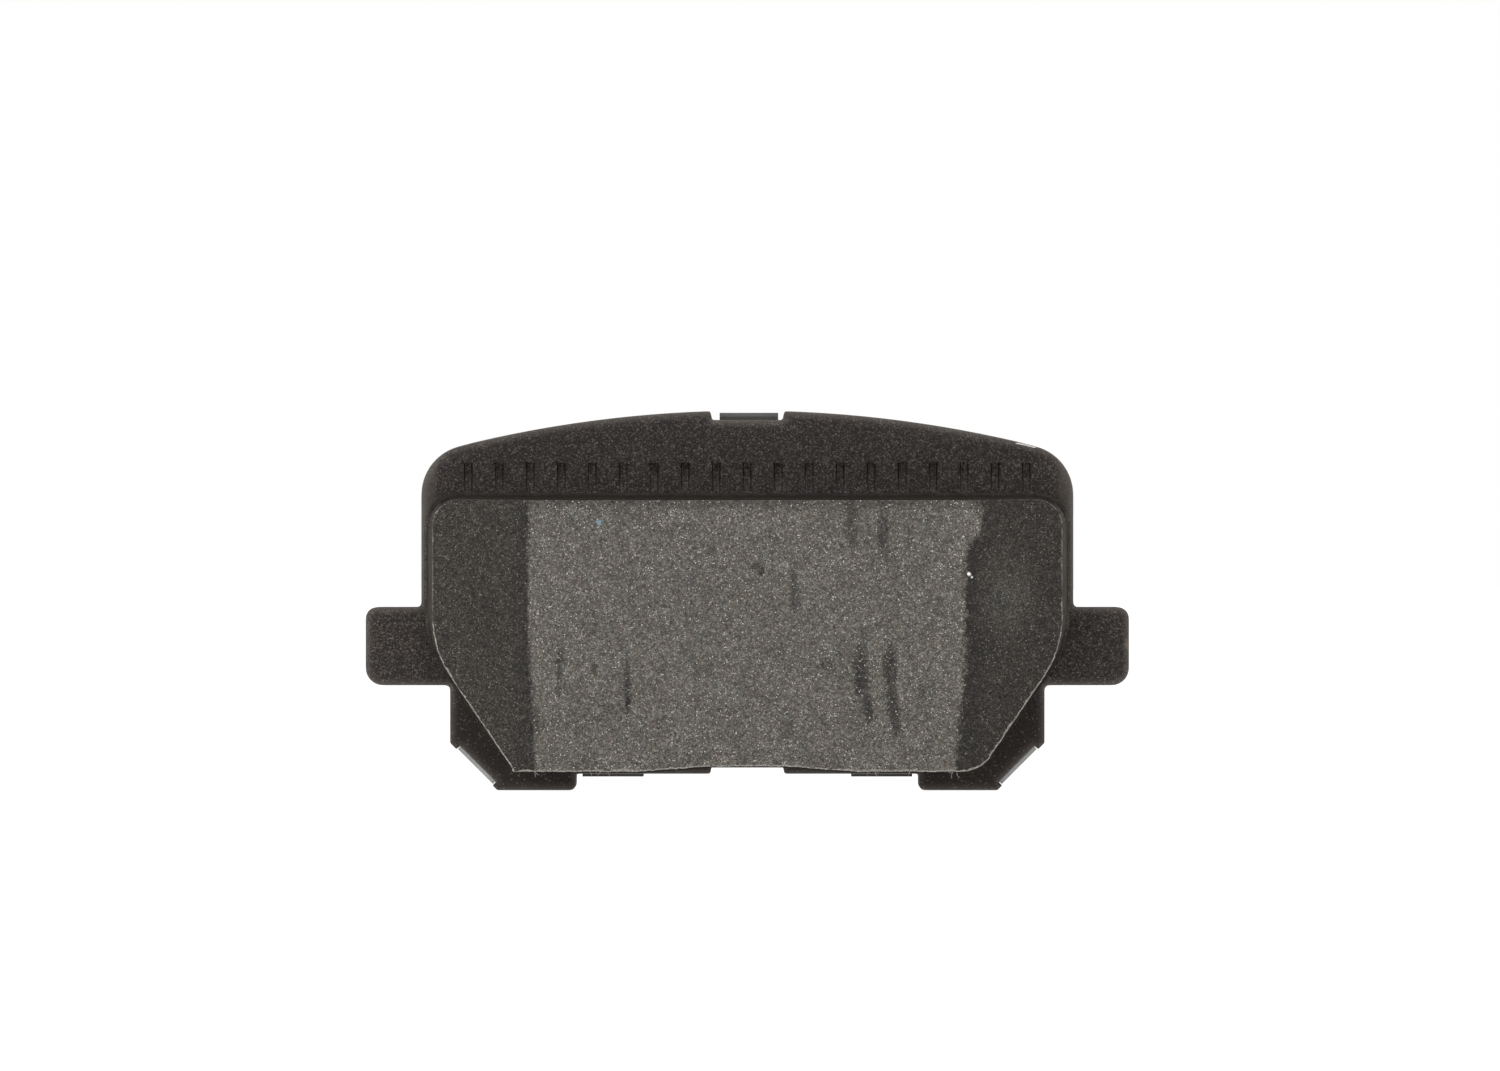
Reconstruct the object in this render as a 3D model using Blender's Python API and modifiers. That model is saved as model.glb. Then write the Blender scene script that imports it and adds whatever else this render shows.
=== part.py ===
"""Disc brake pad for the rear axle of a compact car, built as its separate layers.

Frame: X runs along the two ears, the friction face looks along -Y, +Z points to the crowned edge.
The origin is on the back face of the outer shim (Y = 0), on the pad's centre line (X = 0),
at mid-height of the ears (Z = 0).  Lengths are in metres; MM turns millimetres into metres.
"""
import math

import bmesh
import bpy
from mathutils import Matrix

MM = 0.001
QUARTER_TURN = math.radians(90.0)

# Thicknesses of the layers, from the back of the pad to the friction face
OUTER_SHIM_THICKNESS = 0.50 * MM
SHIM_RUBBER_THICKNESS = 0.12 * MM
INNER_CORE_THICKNESS = 0.38 * MM
SHIM_ADHESIVE_THICKNESS = 0.10 * MM
PLATE_THICKNESS = 5.00 * MM
BOND_THICKNESS = 0.15 * MM
UNDERLAYER_THICKNESS = 2.00 * MM
FRICTION_THICKNESS = 8.00 * MM
LAYER_GAP = 0.03 * MM

# Backing plate outline
EAR_HALF_SPAN = 48.75 * MM
EAR_HALF_HEIGHT = 5.00 * MM
EAR_TOP_RADIUS = 1.40 * MM
EAR_BOTTOM_RADIUS = 2.20 * MM
EAR_ROOT_RADIUS = 0.60 * MM
BODY_HALF_WIDTH = 41.64 * MM
BODY_TOP_RADIUS = 6.90 * MM
BODY_CORNER_RADIUS = 6.35 * MM
LOWER_HALF_WIDTH = 37.97 * MM
CROWN_TOP = 30.10 * MM
CROWN_RADIUS = 151.80 * MM
CROWN_STEPS = 12
FOOT_BOTTOM = -18.40 * MM
FOOT_INNER = 21.87 * MM
FOOT_OUTER = 31.95 * MM
FOOT_CHAMFER_TOP = -12.37 * MM
FOOT_CORNER_RADIUS = 0.50 * MM
FOOT_INNER_RADIUS = 0.80 * MM
RELIEF_RADIUS = 0.36 * MM
WAIST_BOTTOM = -16.30 * MM

# Notches in the crowned edge and in the lower edge
NOTCH_HALF_WIDTH = 4.72 * MM
NOTCH_FLOOR_HALF_WIDTH = 4.50 * MM
NOTCH_CORNER_RADIUS = 0.35 * MM
TOP_NOTCH_FLOOR = 28.90 * MM
BOTTOM_NOTCH_FLOOR = -15.20 * MM

# Recess of the foot chamfer that takes a folded tab of the outer shim
RECESS_DEPTH = 0.62 * MM
RECESS_UPPER_END = 1.15 * MM
RECESS_LENGTH = 6.50 * MM
RECESS_RADIUS = 0.16 * MM

# Edges of the fine-blanked plate
DIE_ROLL = 0.27 * MM
BACK_EDGE = 0.10 * MM
DIE_ROLL_SEGMENTS = 2

# Row of shallow grooves pressed into the plate above the friction block
GROOVE_COUNT = 19
GROOVE_PITCH = 3.955 * MM
GROOVE_WIDTH = 1.10 * MM
GROOVE_BOTTOM = 19.75 * MM
GROOVE_TOP = 23.40 * MM
GROOVE_DEPTH = 0.28 * MM

# Round holes of the plate that the underlayer's plugs fill
PLUG_RADIUS = 4.50 * MM
PLUG_CLEARANCE = 0.05 * MM
PLUG_PITCH = 25.00 * MM
PLUG_HEIGHT = 3.00 * MM
PLUG_SETBACK = 0.30 * MM
PLUG_SEGMENTS = 40

# Friction face outline, how much the mould's draft widens it per unit of depth, and the
# ledge by which the underlayer stands out around it
FACE_HALF_WIDTH = 39.42 * MM
FACE_TOP = 18.62 * MM
FACE_TOP_RADIUS = 4.10 * MM
FACE_BOTTOM = -15.67 * MM
FACE_ARCH_TOP = -15.01 * MM
FACE_ARCH_HALF_WIDTH = 4.80 * MM
FACE_ARCH_FOOT = 13.40 * MM
FACE_ARCH_RADIUS = 12.00 * MM
FACE_SHOULDER_RADIUS = 15.00 * MM
FACE_LEFT_BOTTOM_RADIUS = 0.60 * MM
FACE_RIGHT_BOTTOM_RADIUS = 4.60 * MM
SLANT_BOTTOM_X = 29.33 * MM
SLANT_RUN = 0.677
END_DRAFT = 0.165
TOP_DRAFT = 0.075
SLANT_DRAFT = 0.040
BOTTOM_DRAFT = 0.005
UNDERLAYER_LEDGE = 0.35 * MM

# Chamfers at both ends of the friction face
END_CHAMFER_LENGTH = 11.80 * MM
END_CHAMFER_DEPTH = 2.60 * MM

# Shims
INNER_SHIM_INSET = 1.60 * MM
OUTER_SHIM_INSET = 2.30 * MM
SHIM_CORNER_RADIUS = 1.20 * MM
SHIM_TOP_RADIUS = 3.00 * MM
SHIM_TOP_CORNER_LENGTH = 3.60 * MM
SHIM_NOTCH_RADIUS = 0.60 * MM
SHIM_SLOT_END_RADIUS = 1.96 * MM
BEND_RADIUS = 0.30 * MM
BEND_STEPS = 8
TOP_TAB_WIDTH = 7.50 * MM
TOP_TAB_OFFSET = 0.20 * MM
TOP_TAB_REACH = 3.40 * MM
BOTTOM_TAB_WIDTH = 7.80 * MM
BOTTOM_TAB_CENTRE = 17.20 * MM
BOTTOM_TAB_REACH = 3.40 * MM
FOOT_TAB_WIDTH = 6.34 * MM
FOOT_TAB_REACH = 4.40 * MM
SHIM_SLOT_LENGTH = 8.00 * MM
SHIM_SLOT_WIDTH = 4.00 * MM
SHIM_SLOT_PITCH = 30.00 * MM
SHIM_SLOT_HEIGHT = 4.00 * MM

ARC_STEPS = 8
CUTTER_MARGIN = 1.00 * MM
SMOOTH_ANGLE = math.radians(30.0)
FLAT_ANGLE = math.radians(0.1)
WELD_DISTANCE = 0.001 * MM

# Depths along Y of the back face of each layer
OUTER_SHIM_BACK = 0.0
RUBBER_BACK_BACK = OUTER_SHIM_BACK - OUTER_SHIM_THICKNESS - LAYER_GAP
INNER_CORE_BACK = RUBBER_BACK_BACK - SHIM_RUBBER_THICKNESS - LAYER_GAP
RUBBER_FRONT_BACK = INNER_CORE_BACK - INNER_CORE_THICKNESS - LAYER_GAP
SHIM_ADHESIVE_BACK = RUBBER_FRONT_BACK - SHIM_RUBBER_THICKNESS - LAYER_GAP
PLATE_BACK = SHIM_ADHESIVE_BACK - SHIM_ADHESIVE_THICKNESS - LAYER_GAP
PLATE_FRONT = PLATE_BACK - PLATE_THICKNESS
BOND_BACK = PLATE_FRONT - LAYER_GAP
UNDERLAYER_BACK = BOND_BACK - BOND_THICKNESS - LAYER_GAP
FRICTION_BACK = UNDERLAYER_BACK - UNDERLAYER_THICKNESS - LAYER_GAP
FRICTION_FACE = FRICTION_BACK - FRICTION_THICKNESS


# ---------------------------------------------------------------- scene and materials

def clear_scene():
    """Remove every object of the scene that is open."""
    for existing in list(bpy.data.objects):
        bpy.data.objects.remove(existing, do_unlink=True)


def new_collection(name):
    """Make a collection under the scene's own."""
    collection = bpy.data.collections.new(name)
    bpy.context.scene.collection.children.link(collection)
    return collection


def new_material(name, colour, roughness, metallic):
    """Make a plain Principled material."""
    material = bpy.data.materials.new(name)
    material.use_nodes = True
    shader = material.node_tree.nodes["Principled BSDF"]
    shader.inputs["Base Color"].default_value = (*colour, 1.0)
    shader.inputs["Roughness"].default_value = roughness
    shader.inputs["Metallic"].default_value = metallic
    return material


def finish_node(node, material):
    """Give a node its material and smooth shading between soft edges."""
    node.data.materials.clear()
    node.data.materials.append(material)
    node.data.shade_smooth()
    node.data.set_sharp_from_angle(angle=SMOOTH_ANGLE)


# ---------------------------------------------------------------- outlines in the XZ plane

def mirrored(corners):
    """Return a right half, listed from its top to its bottom, with its left half after it."""
    left_half = [(-x, z, radius) for x, z, radius in reversed(corners)]
    return corners + left_half


def rounded_outline(corners):
    """Replace each corner (x, z, radius) of a closed outline by an arc of ARC_STEPS steps."""
    points = []
    for index, (x, z, radius) in enumerate(corners):
        if radius == 0.0:
            points.append((x, z))
            continue
        before_x, before_z, _ = corners[index - 1]
        after_x, after_z, _ = corners[(index + 1) % len(corners)]
        heading_in = math.atan2(z - before_z, x - before_x)
        heading_out = math.atan2(after_z - z, after_x - x)
        turn = math.remainder(heading_out - heading_in, 2.0 * math.pi)
        tangent = radius * math.tan(abs(turn) / 2.0)
        side = math.copysign(1.0, turn)
        start_x = x - tangent * math.cos(heading_in)
        start_z = z - tangent * math.sin(heading_in)
        centre_x = start_x - side * radius * math.sin(heading_in)
        centre_z = start_z + side * radius * math.cos(heading_in)
        for step in range(ARC_STEPS + 1):
            heading = heading_in + turn * step / ARC_STEPS
            points.append((
                centre_x + side * radius * math.sin(heading),
                centre_z - side * radius * math.cos(heading),
            ))
    return points


def crown_height(x, inset=0.0):
    """Height of the crowned edge at x, on an arc that is inset towards its centre."""
    radius = CROWN_RADIUS - inset
    return CROWN_TOP - CROWN_RADIUS + math.sqrt(radius * radius - x * x)


def crown_corners(x_from, x_to, inset=0.0):
    """Points of the crowned edge between two places, without their own rounding."""
    spacing = (x_to - x_from) / CROWN_STEPS
    stations = [x_from + spacing * step for step in range(CROWN_STEPS + 1)]
    return [(x, crown_height(x, inset), 0.0) for x in stations]


def foot_chamfer_point(distance, depth):
    """Point along the right foot's chamfer, at a distance from its upper end and a depth into it."""
    run_x = FOOT_OUTER - LOWER_HALF_WIDTH
    run_z = FOOT_BOTTOM - FOOT_CHAMFER_TOP
    length = math.hypot(run_x, run_z)
    along_x = run_x / length
    along_z = run_z / length
    x = LOWER_HALF_WIDTH + distance * along_x + depth * along_z
    z = FOOT_CHAMFER_TOP + distance * along_z - depth * along_x
    return x, z


def plate_half_outline():
    """Right half of the backing plate, which runs a little past the centre plane.

    It has the crowned edge, an ear, a chamfered foot and half of each notch.
    """
    crown_start = NOTCH_HALF_WIDTH
    crown_end = BODY_HALF_WIDTH - BODY_TOP_RADIUS
    recess_end = RECESS_UPPER_END + RECESS_LENGTH
    corners = [
        (-CUTTER_MARGIN, TOP_NOTCH_FLOOR, 0.0),
        (NOTCH_FLOOR_HALF_WIDTH, TOP_NOTCH_FLOOR, NOTCH_CORNER_RADIUS),
        (crown_start, crown_height(crown_start), NOTCH_CORNER_RADIUS),
    ]
    corners += crown_corners(crown_start, crown_end)[1:]
    corners += [
        (BODY_HALF_WIDTH, crown_height(BODY_HALF_WIDTH), BODY_CORNER_RADIUS),
        (BODY_HALF_WIDTH, EAR_HALF_HEIGHT, EAR_ROOT_RADIUS),
        (EAR_HALF_SPAN, EAR_HALF_HEIGHT, EAR_TOP_RADIUS),
        (EAR_HALF_SPAN, -EAR_HALF_HEIGHT, EAR_BOTTOM_RADIUS),
        (LOWER_HALF_WIDTH, -EAR_HALF_HEIGHT, EAR_ROOT_RADIUS),
        (LOWER_HALF_WIDTH, FOOT_CHAMFER_TOP, FOOT_CORNER_RADIUS),
        (*foot_chamfer_point(RECESS_UPPER_END, 0.0), RECESS_RADIUS),
        (*foot_chamfer_point(RECESS_UPPER_END, RECESS_DEPTH), RECESS_RADIUS),
        (*foot_chamfer_point(recess_end, RECESS_DEPTH), RECESS_RADIUS),
        (*foot_chamfer_point(recess_end, 0.0), RECESS_RADIUS),
        (FOOT_OUTER, FOOT_BOTTOM, FOOT_CORNER_RADIUS),
        (FOOT_INNER, FOOT_BOTTOM, FOOT_INNER_RADIUS),
        (FOOT_INNER, WAIST_BOTTOM, RELIEF_RADIUS),
        (NOTCH_HALF_WIDTH, WAIST_BOTTOM, NOTCH_CORNER_RADIUS),
        (NOTCH_FLOOR_HALF_WIDTH, BOTTOM_NOTCH_FLOOR, NOTCH_CORNER_RADIUS),
        (-CUTTER_MARGIN, BOTTOM_NOTCH_FLOOR, 0.0),
    ]
    return rounded_outline(corners)


def shim_outline(inset):
    """Outline of a flat shim layer: the plate's body without its ears, inset all round."""
    side = LOWER_HALF_WIDTH - inset
    crown_end = side - SHIM_TOP_CORNER_LENGTH
    chamfer_inset = inset * math.tan(QUARTER_TURN / 4.0)
    half = crown_corners(0.0, crown_end, inset)
    half += [
        (side, crown_height(side, inset), SHIM_TOP_RADIUS),
        (side, FOOT_CHAMFER_TOP + chamfer_inset, SHIM_CORNER_RADIUS),
        (FOOT_OUTER - chamfer_inset, FOOT_BOTTOM + inset, SHIM_CORNER_RADIUS),
        (FOOT_INNER + inset, FOOT_BOTTOM + inset, SHIM_NOTCH_RADIUS),
        (FOOT_INNER + inset, WAIST_BOTTOM + inset, SHIM_NOTCH_RADIUS),
    ]
    return rounded_outline(mirrored(half)[1:])


def lining_outline(depth, ledge=0.0):
    """Outline of the friction lining at a depth behind its face, widened by draft and a ledge."""
    side = FACE_HALF_WIDTH + END_DRAFT * depth + ledge
    top = FACE_TOP + TOP_DRAFT * depth + ledge
    bottom = FACE_BOTTOM - BOTTOM_DRAFT * depth - ledge
    arch_top = FACE_ARCH_TOP - BOTTOM_DRAFT * depth - ledge
    slant_shift = (SLANT_DRAFT * depth + ledge) * math.hypot(1.0, SLANT_RUN) - ledge * SLANT_RUN
    slant_x = SLANT_BOTTOM_X + slant_shift
    shoulder = bottom + (side - slant_x) / SLANT_RUN
    return rounded_outline([
        (-side, top, FACE_TOP_RADIUS),
        (side, top, FACE_TOP_RADIUS),
        (side, shoulder, FACE_SHOULDER_RADIUS),
        (slant_x, bottom, FACE_RIGHT_BOTTOM_RADIUS),
        (FACE_ARCH_FOOT, bottom, FACE_ARCH_RADIUS),
        (FACE_ARCH_HALF_WIDTH, arch_top, FACE_ARCH_RADIUS),
        (-FACE_ARCH_HALF_WIDTH, arch_top, FACE_ARCH_RADIUS),
        (-FACE_ARCH_FOOT, bottom, FACE_ARCH_RADIUS),
        (-slant_x, bottom, FACE_LEFT_BOTTOM_RADIUS),
        (-side, shoulder, FACE_SHOULDER_RADIUS),
    ])


def underlayer_outline():
    """Outline of the underlayer and of the adhesive film behind it."""
    return lining_outline(FRICTION_THICKNESS, UNDERLAYER_LEDGE)


# ---------------------------------------------------------------- solids

def mesh_object(name, source, collection):
    """Make a mesh object of a bmesh, and free the bmesh."""
    mesh = bpy.data.meshes.new(name)
    source.to_mesh(mesh)
    source.free()
    made = bpy.data.objects.new(name, mesh)
    collection.objects.link(made)
    return made


def flat_slab(name, outline, back, thickness, collection):
    """Extrude a closed XZ outline forward (to -Y) from its back face into a welded slab."""
    curve = bpy.data.curves.new(name + "_outline", "CURVE")
    curve.dimensions = "2D"
    curve.fill_mode = "BOTH"
    curve.extrude = thickness / 2.0
    spline = curve.splines.new("POLY")
    spline.points.add(len(outline) - 1)
    for point, (x, z) in zip(spline.points, outline):
        point.co = (x, z, 0.0, 1.0)
    spline.use_cyclic_u = True
    drawn = bpy.data.objects.new(name + "_outline", curve)
    drawn.location = (0.0, back - thickness / 2.0, 0.0)
    drawn.rotation_euler = (QUARTER_TURN, 0.0, 0.0)
    collection.objects.link(drawn)
    bpy.context.view_layer.update()
    evaluated = drawn.evaluated_get(bpy.context.evaluated_depsgraph_get())
    mesh = bpy.data.meshes.new_from_object(evaluated)
    mesh.transform(drawn.matrix_world)
    welded = bmesh.new()
    welded.from_mesh(mesh)
    bmesh.ops.remove_doubles(welded, verts=welded.verts, dist=WELD_DISTANCE)
    bmesh.ops.dissolve_limit(
        welded, angle_limit=FLAT_ANGLE, verts=welded.verts, edges=welded.edges)
    bmesh.ops.recalc_face_normals(welded, faces=welded.faces)
    bpy.data.objects.remove(drawn, do_unlink=True)
    bpy.data.curves.remove(curve)
    bpy.data.meshes.remove(mesh)
    return mesh_object(name, welded, collection)


def drafted_slab(name, back, thickness, collection):
    """Loft the lining between its outline at the friction face and the one at its back."""
    lofted = bmesh.new()
    front_outline = lining_outline(0.0)
    back_outline = lining_outline(thickness)
    front_loop = [lofted.verts.new((x, back - thickness, z)) for x, z in front_outline]
    face = lofted.faces.new(front_loop)
    extruded = bmesh.ops.extrude_face_region(lofted, geom=[face])
    back_loop = [item for item in extruded["geom"] if isinstance(item, bmesh.types.BMVert)]
    for vertex in back_loop:
        gaps = [math.hypot(x - vertex.co.x, z - vertex.co.z) for x, z in front_outline]
        x, z = back_outline[gaps.index(min(gaps))]
        vertex.co = (x, back, z)
    bmesh.ops.recalc_face_normals(lofted, faces=lofted.faces)
    return mesh_object(name, lofted, collection)


def bent_tab(name, width, reach, fold, angle, back, thickness, bend_radius, collection):
    """Make a folded sheet tab: a leg along the sheet, a bend, and a flange that runs forward.

    The profile is drawn with its flange's inner side at height 0; it is then turned about Y by
    the angle and moved to the fold, a point (x, z) on the edge that the flange wraps.
    """
    outer_radius = bend_radius + thickness
    leg = outer_radius + INNER_SHIM_INSET
    front = back - thickness
    centre = front - bend_radius
    quarter = [QUARTER_TURN * step / BEND_STEPS for step in range(BEND_STEPS + 1)]
    profile = [(front, thickness - leg)]
    profile += [(centre + bend_radius * math.cos(turn), bend_radius * (math.sin(turn) - 1.0))
                for turn in quarter]
    profile += [(back - reach, 0.0), (back - reach, thickness)]
    profile += [(centre + outer_radius * math.cos(turn), outer_radius * math.sin(turn) - bend_radius)
                for turn in reversed(quarter)]
    profile.append((back, thickness - leg))
    strip = bmesh.new()
    section = [strip.verts.new((-width / 2.0, y, height)) for y, height in profile]
    face = strip.faces.new(section)
    extruded = bmesh.ops.extrude_face_region(strip, geom=[face])
    moved = [item for item in extruded["geom"] if isinstance(item, bmesh.types.BMVert)]
    bmesh.ops.translate(strip, verts=moved, vec=(width, 0.0, 0.0))
    bmesh.ops.recalc_face_normals(strip, faces=strip.faces)
    placing = Matrix.Translation((fold[0], 0.0, fold[1])) @ Matrix.Rotation(angle, 4, "Y")
    bmesh.ops.transform(strip, matrix=placing, verts=strip.verts)
    return mesh_object(name, strip, collection)


def round_plug(name, x, z, radius, back, front, collection):
    """Make a cylinder along Y between two depths."""
    plug = bmesh.new()
    bmesh.ops.create_cone(
        plug, cap_ends=True, segments=PLUG_SEGMENTS, radius1=radius, radius2=radius, depth=back - front)
    standing = Matrix.Rotation(QUARTER_TURN, 4, "X")
    placing = Matrix.Translation((x, (back + front) / 2.0, z)) @ standing
    bmesh.ops.transform(plug, matrix=placing, verts=plug.verts)
    return mesh_object(name, plug, collection)


def box(name, centre, size, collection):
    """Make a box with its sides along the axes."""
    cube = bmesh.new()
    bmesh.ops.create_cube(cube, size=1.0)
    bmesh.ops.scale(cube, vec=size, verts=cube.verts)
    bmesh.ops.translate(cube, vec=centre, verts=cube.verts)
    return mesh_object(name, cube, collection)


def as_tool(tool):
    """Hide a cutter or a joined shape from renders and draw it as a wire."""
    tool.hide_render = True
    tool.display_type = "WIRE"
    return tool


def side_name(side):
    """Name the side of the centre plane that a sign stands for."""
    return "right" if side > 0 else "left"


def add_boolean(node, tool, operation):
    """Combine a node with a tool by an exact Boolean."""
    modifier = node.modifiers.new(operation.title() + "_" + tool.name, "BOOLEAN")
    modifier.operation = operation
    modifier.solver = "EXACT"
    modifier.object = as_tool(tool)


def plug_places():
    """Centres of the plate's three retention holes."""
    return [(PLUG_PITCH * place, PLUG_HEIGHT) for place in (-1, 0, 1)]


# ---------------------------------------------------------------- the pad's pieces

def round_plate_rims(plate):
    """Give the plate its die-rolled front rim and its slightly broken back rim."""
    mesh = plate.data
    weights = mesh.attributes.new("bevel_weight_edge", "FLOAT", "EDGE")
    for edge in mesh.edges:
        depths = [mesh.vertices[index].co.y for index in edge.vertices]
        if max(depths) < PLATE_FRONT + LAYER_GAP:
            weights.data[edge.index].value = 1.0
        elif min(depths) > PLATE_BACK - LAYER_GAP:
            weights.data[edge.index].value = BACK_EDGE / DIE_ROLL
    bevel = plate.modifiers.new("Die_roll", "BEVEL")
    bevel.limit_method = "WEIGHT"
    bevel.width = DIE_ROLL
    bevel.segments = DIE_ROLL_SEGMENTS
    bevel.use_clamp_overlap = False


def groove_cutter(collection):
    """Make the row of boxes that press the grooves into the plate's front."""
    height = GROOVE_TOP - GROOVE_BOTTOM
    first_x = -GROOVE_PITCH * (GROOVE_COUNT - 1) / 2.0
    depth = GROOVE_DEPTH + CUTTER_MARGIN
    centre = (first_x, PLATE_FRONT + GROOVE_DEPTH - depth / 2.0, (GROOVE_TOP + GROOVE_BOTTOM) / 2.0)
    cutter = box("groove_cutter", centre, (GROOVE_WIDTH, depth, height), collection)
    row = cutter.modifiers.new("Row", "ARRAY")
    row.count = GROOVE_COUNT
    row.use_relative_offset = False
    row.use_constant_offset = True
    row.constant_offset_displace = (GROOVE_PITCH, 0.0, 0.0)
    return cutter


def build_backing_plate(parts, tools, material):
    """Steel plate with ears, feet, notches, retention holes and a row of shallow grooves."""
    plate = flat_slab("backing_plate", plate_half_outline(), PLATE_BACK, PLATE_THICKNESS, parts)
    mirror = plate.modifiers.new("Left_half", "MIRROR")
    mirror.use_bisect_axis[0] = True
    mirror.bisect_threshold = WELD_DISTANCE
    mirror.merge_threshold = WELD_DISTANCE
    round_plate_rims(plate)
    for number, (x, z) in enumerate(plug_places(), start=1):
        hole = round_plug(
            f"plate_hole_cutter_{number}", x, z, PLUG_RADIUS,
            PLATE_BACK + CUTTER_MARGIN, PLATE_FRONT - CUTTER_MARGIN, tools)
        add_boolean(plate, hole, "DIFFERENCE")
    add_boolean(plate, groove_cutter(tools), "DIFFERENCE")
    finish_node(plate, material)
    return plate


def build_bond_adhesive(parts, tools, material):
    """Adhesive film between the plate and the underlayer, open where the plugs pass."""
    film = flat_slab("bond_adhesive", underlayer_outline(), BOND_BACK, BOND_THICKNESS, parts)
    for number, (x, z) in enumerate(plug_places(), start=1):
        hole = round_plug(
            f"film_hole_cutter_{number}", x, z, PLUG_RADIUS,
            BOND_BACK + CUTTER_MARGIN, BOND_BACK - CUTTER_MARGIN, tools)
        add_boolean(film, hole, "DIFFERENCE")
    finish_node(film, material)
    return film


def build_underlayer(parts, tools, material):
    """Moulded underlayer with the plugs that fill the plate's retention holes."""
    underlayer = flat_slab(
        "underlayer", underlayer_outline(), UNDERLAYER_BACK, UNDERLAYER_THICKNESS, parts)
    for number, (x, z) in enumerate(plug_places(), start=1):
        plug = round_plug(
            f"retention_plug_{number}", x, z, PLUG_RADIUS - PLUG_CLEARANCE,
            PLATE_BACK - PLUG_SETBACK, UNDERLAYER_BACK - UNDERLAYER_THICKNESS / 2.0, tools)
        add_boolean(underlayer, plug, "UNION")
    finish_node(underlayer, material)
    return underlayer


def end_chamfer_cutter(side, collection):
    """Make the tilted box that cuts the friction face's chamfer at one end (side is -1 or 1)."""
    tilt = math.atan2(END_CHAMFER_DEPTH, END_CHAMFER_LENGTH)
    length = 2.0 * END_CHAMFER_LENGTH
    height = 2.0 * (FACE_TOP - FACE_BOTTOM)
    depth = 2.0 * END_CHAMFER_DEPTH
    centre = (length / 2.0, -depth / 2.0, 0.0)
    name = f"end_chamfer_cutter_{side_name(side)}"
    cutter = box(name, centre, (length, depth, height), collection)
    edge_x = FACE_HALF_WIDTH - END_CHAMFER_LENGTH
    mirror = Matrix.Scale(side, 4, (1.0, 0.0, 0.0))
    placing = Matrix.Translation((edge_x, FRICTION_FACE, 0.0)) @ Matrix.Rotation(tilt, 4, "Z")
    cutter.data.transform(mirror @ placing)
    if side < 0:
        cutter.data.flip_normals()
    return cutter


def build_friction_block(parts, tools, material):
    """Moulded friction block with drafted walls, an arched lower edge and chamfered ends."""
    block = drafted_slab("friction_block", FRICTION_BACK, FRICTION_THICKNESS, parts)
    for side in (-1, 1):
        add_boolean(block, end_chamfer_cutter(side, tools), "DIFFERENCE")
    finish_node(block, material)
    return block


def build_shim_layer(name, back, thickness, parts, material):
    """Thin flat layer with the inner shim's outline."""
    layer = flat_slab(name, shim_outline(INNER_SHIM_INSET), back, thickness, parts)
    finish_node(layer, material)
    return layer


def build_inner_shim_core(parts, tools, material):
    """Steel core of the inner shim, with a tab in the top notch and two under the waist."""
    core = flat_slab(
        "inner_shim_core", shim_outline(INNER_SHIM_INSET), INNER_CORE_BACK, INNER_CORE_THICKNESS, parts)
    top_fold = (TOP_TAB_OFFSET, TOP_NOTCH_FLOOR + LAYER_GAP)
    top_tab = bent_tab(
        "inner_top_tab", TOP_TAB_WIDTH, TOP_TAB_REACH, top_fold, 0.0,
        INNER_CORE_BACK, INNER_CORE_THICKNESS, BEND_RADIUS, tools)
    add_boolean(core, top_tab, "UNION")
    for side in (-1, 1):
        fold = (side * BOTTOM_TAB_CENTRE, WAIST_BOTTOM - LAYER_GAP)
        tab = bent_tab(
            f"inner_bottom_tab_{side_name(side)}", BOTTOM_TAB_WIDTH, BOTTOM_TAB_REACH,
            fold, math.pi, INNER_CORE_BACK, INNER_CORE_THICKNESS, BEND_RADIUS, tools)
        add_boolean(core, tab, "UNION")
    finish_node(core, material)
    return core


def slot_outline(x):
    """Outline of an obround slot centred at x, its long side along X."""
    half_length = SHIM_SLOT_LENGTH / 2.0
    half_width = SHIM_SLOT_WIDTH / 2.0
    return rounded_outline([
        (x - half_length, SHIM_SLOT_HEIGHT + half_width, SHIM_SLOT_END_RADIUS),
        (x + half_length, SHIM_SLOT_HEIGHT + half_width, SHIM_SLOT_END_RADIUS),
        (x + half_length, SHIM_SLOT_HEIGHT - half_width, SHIM_SLOT_END_RADIUS),
        (x - half_length, SHIM_SLOT_HEIGHT - half_width, SHIM_SLOT_END_RADIUS),
    ])


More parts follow.
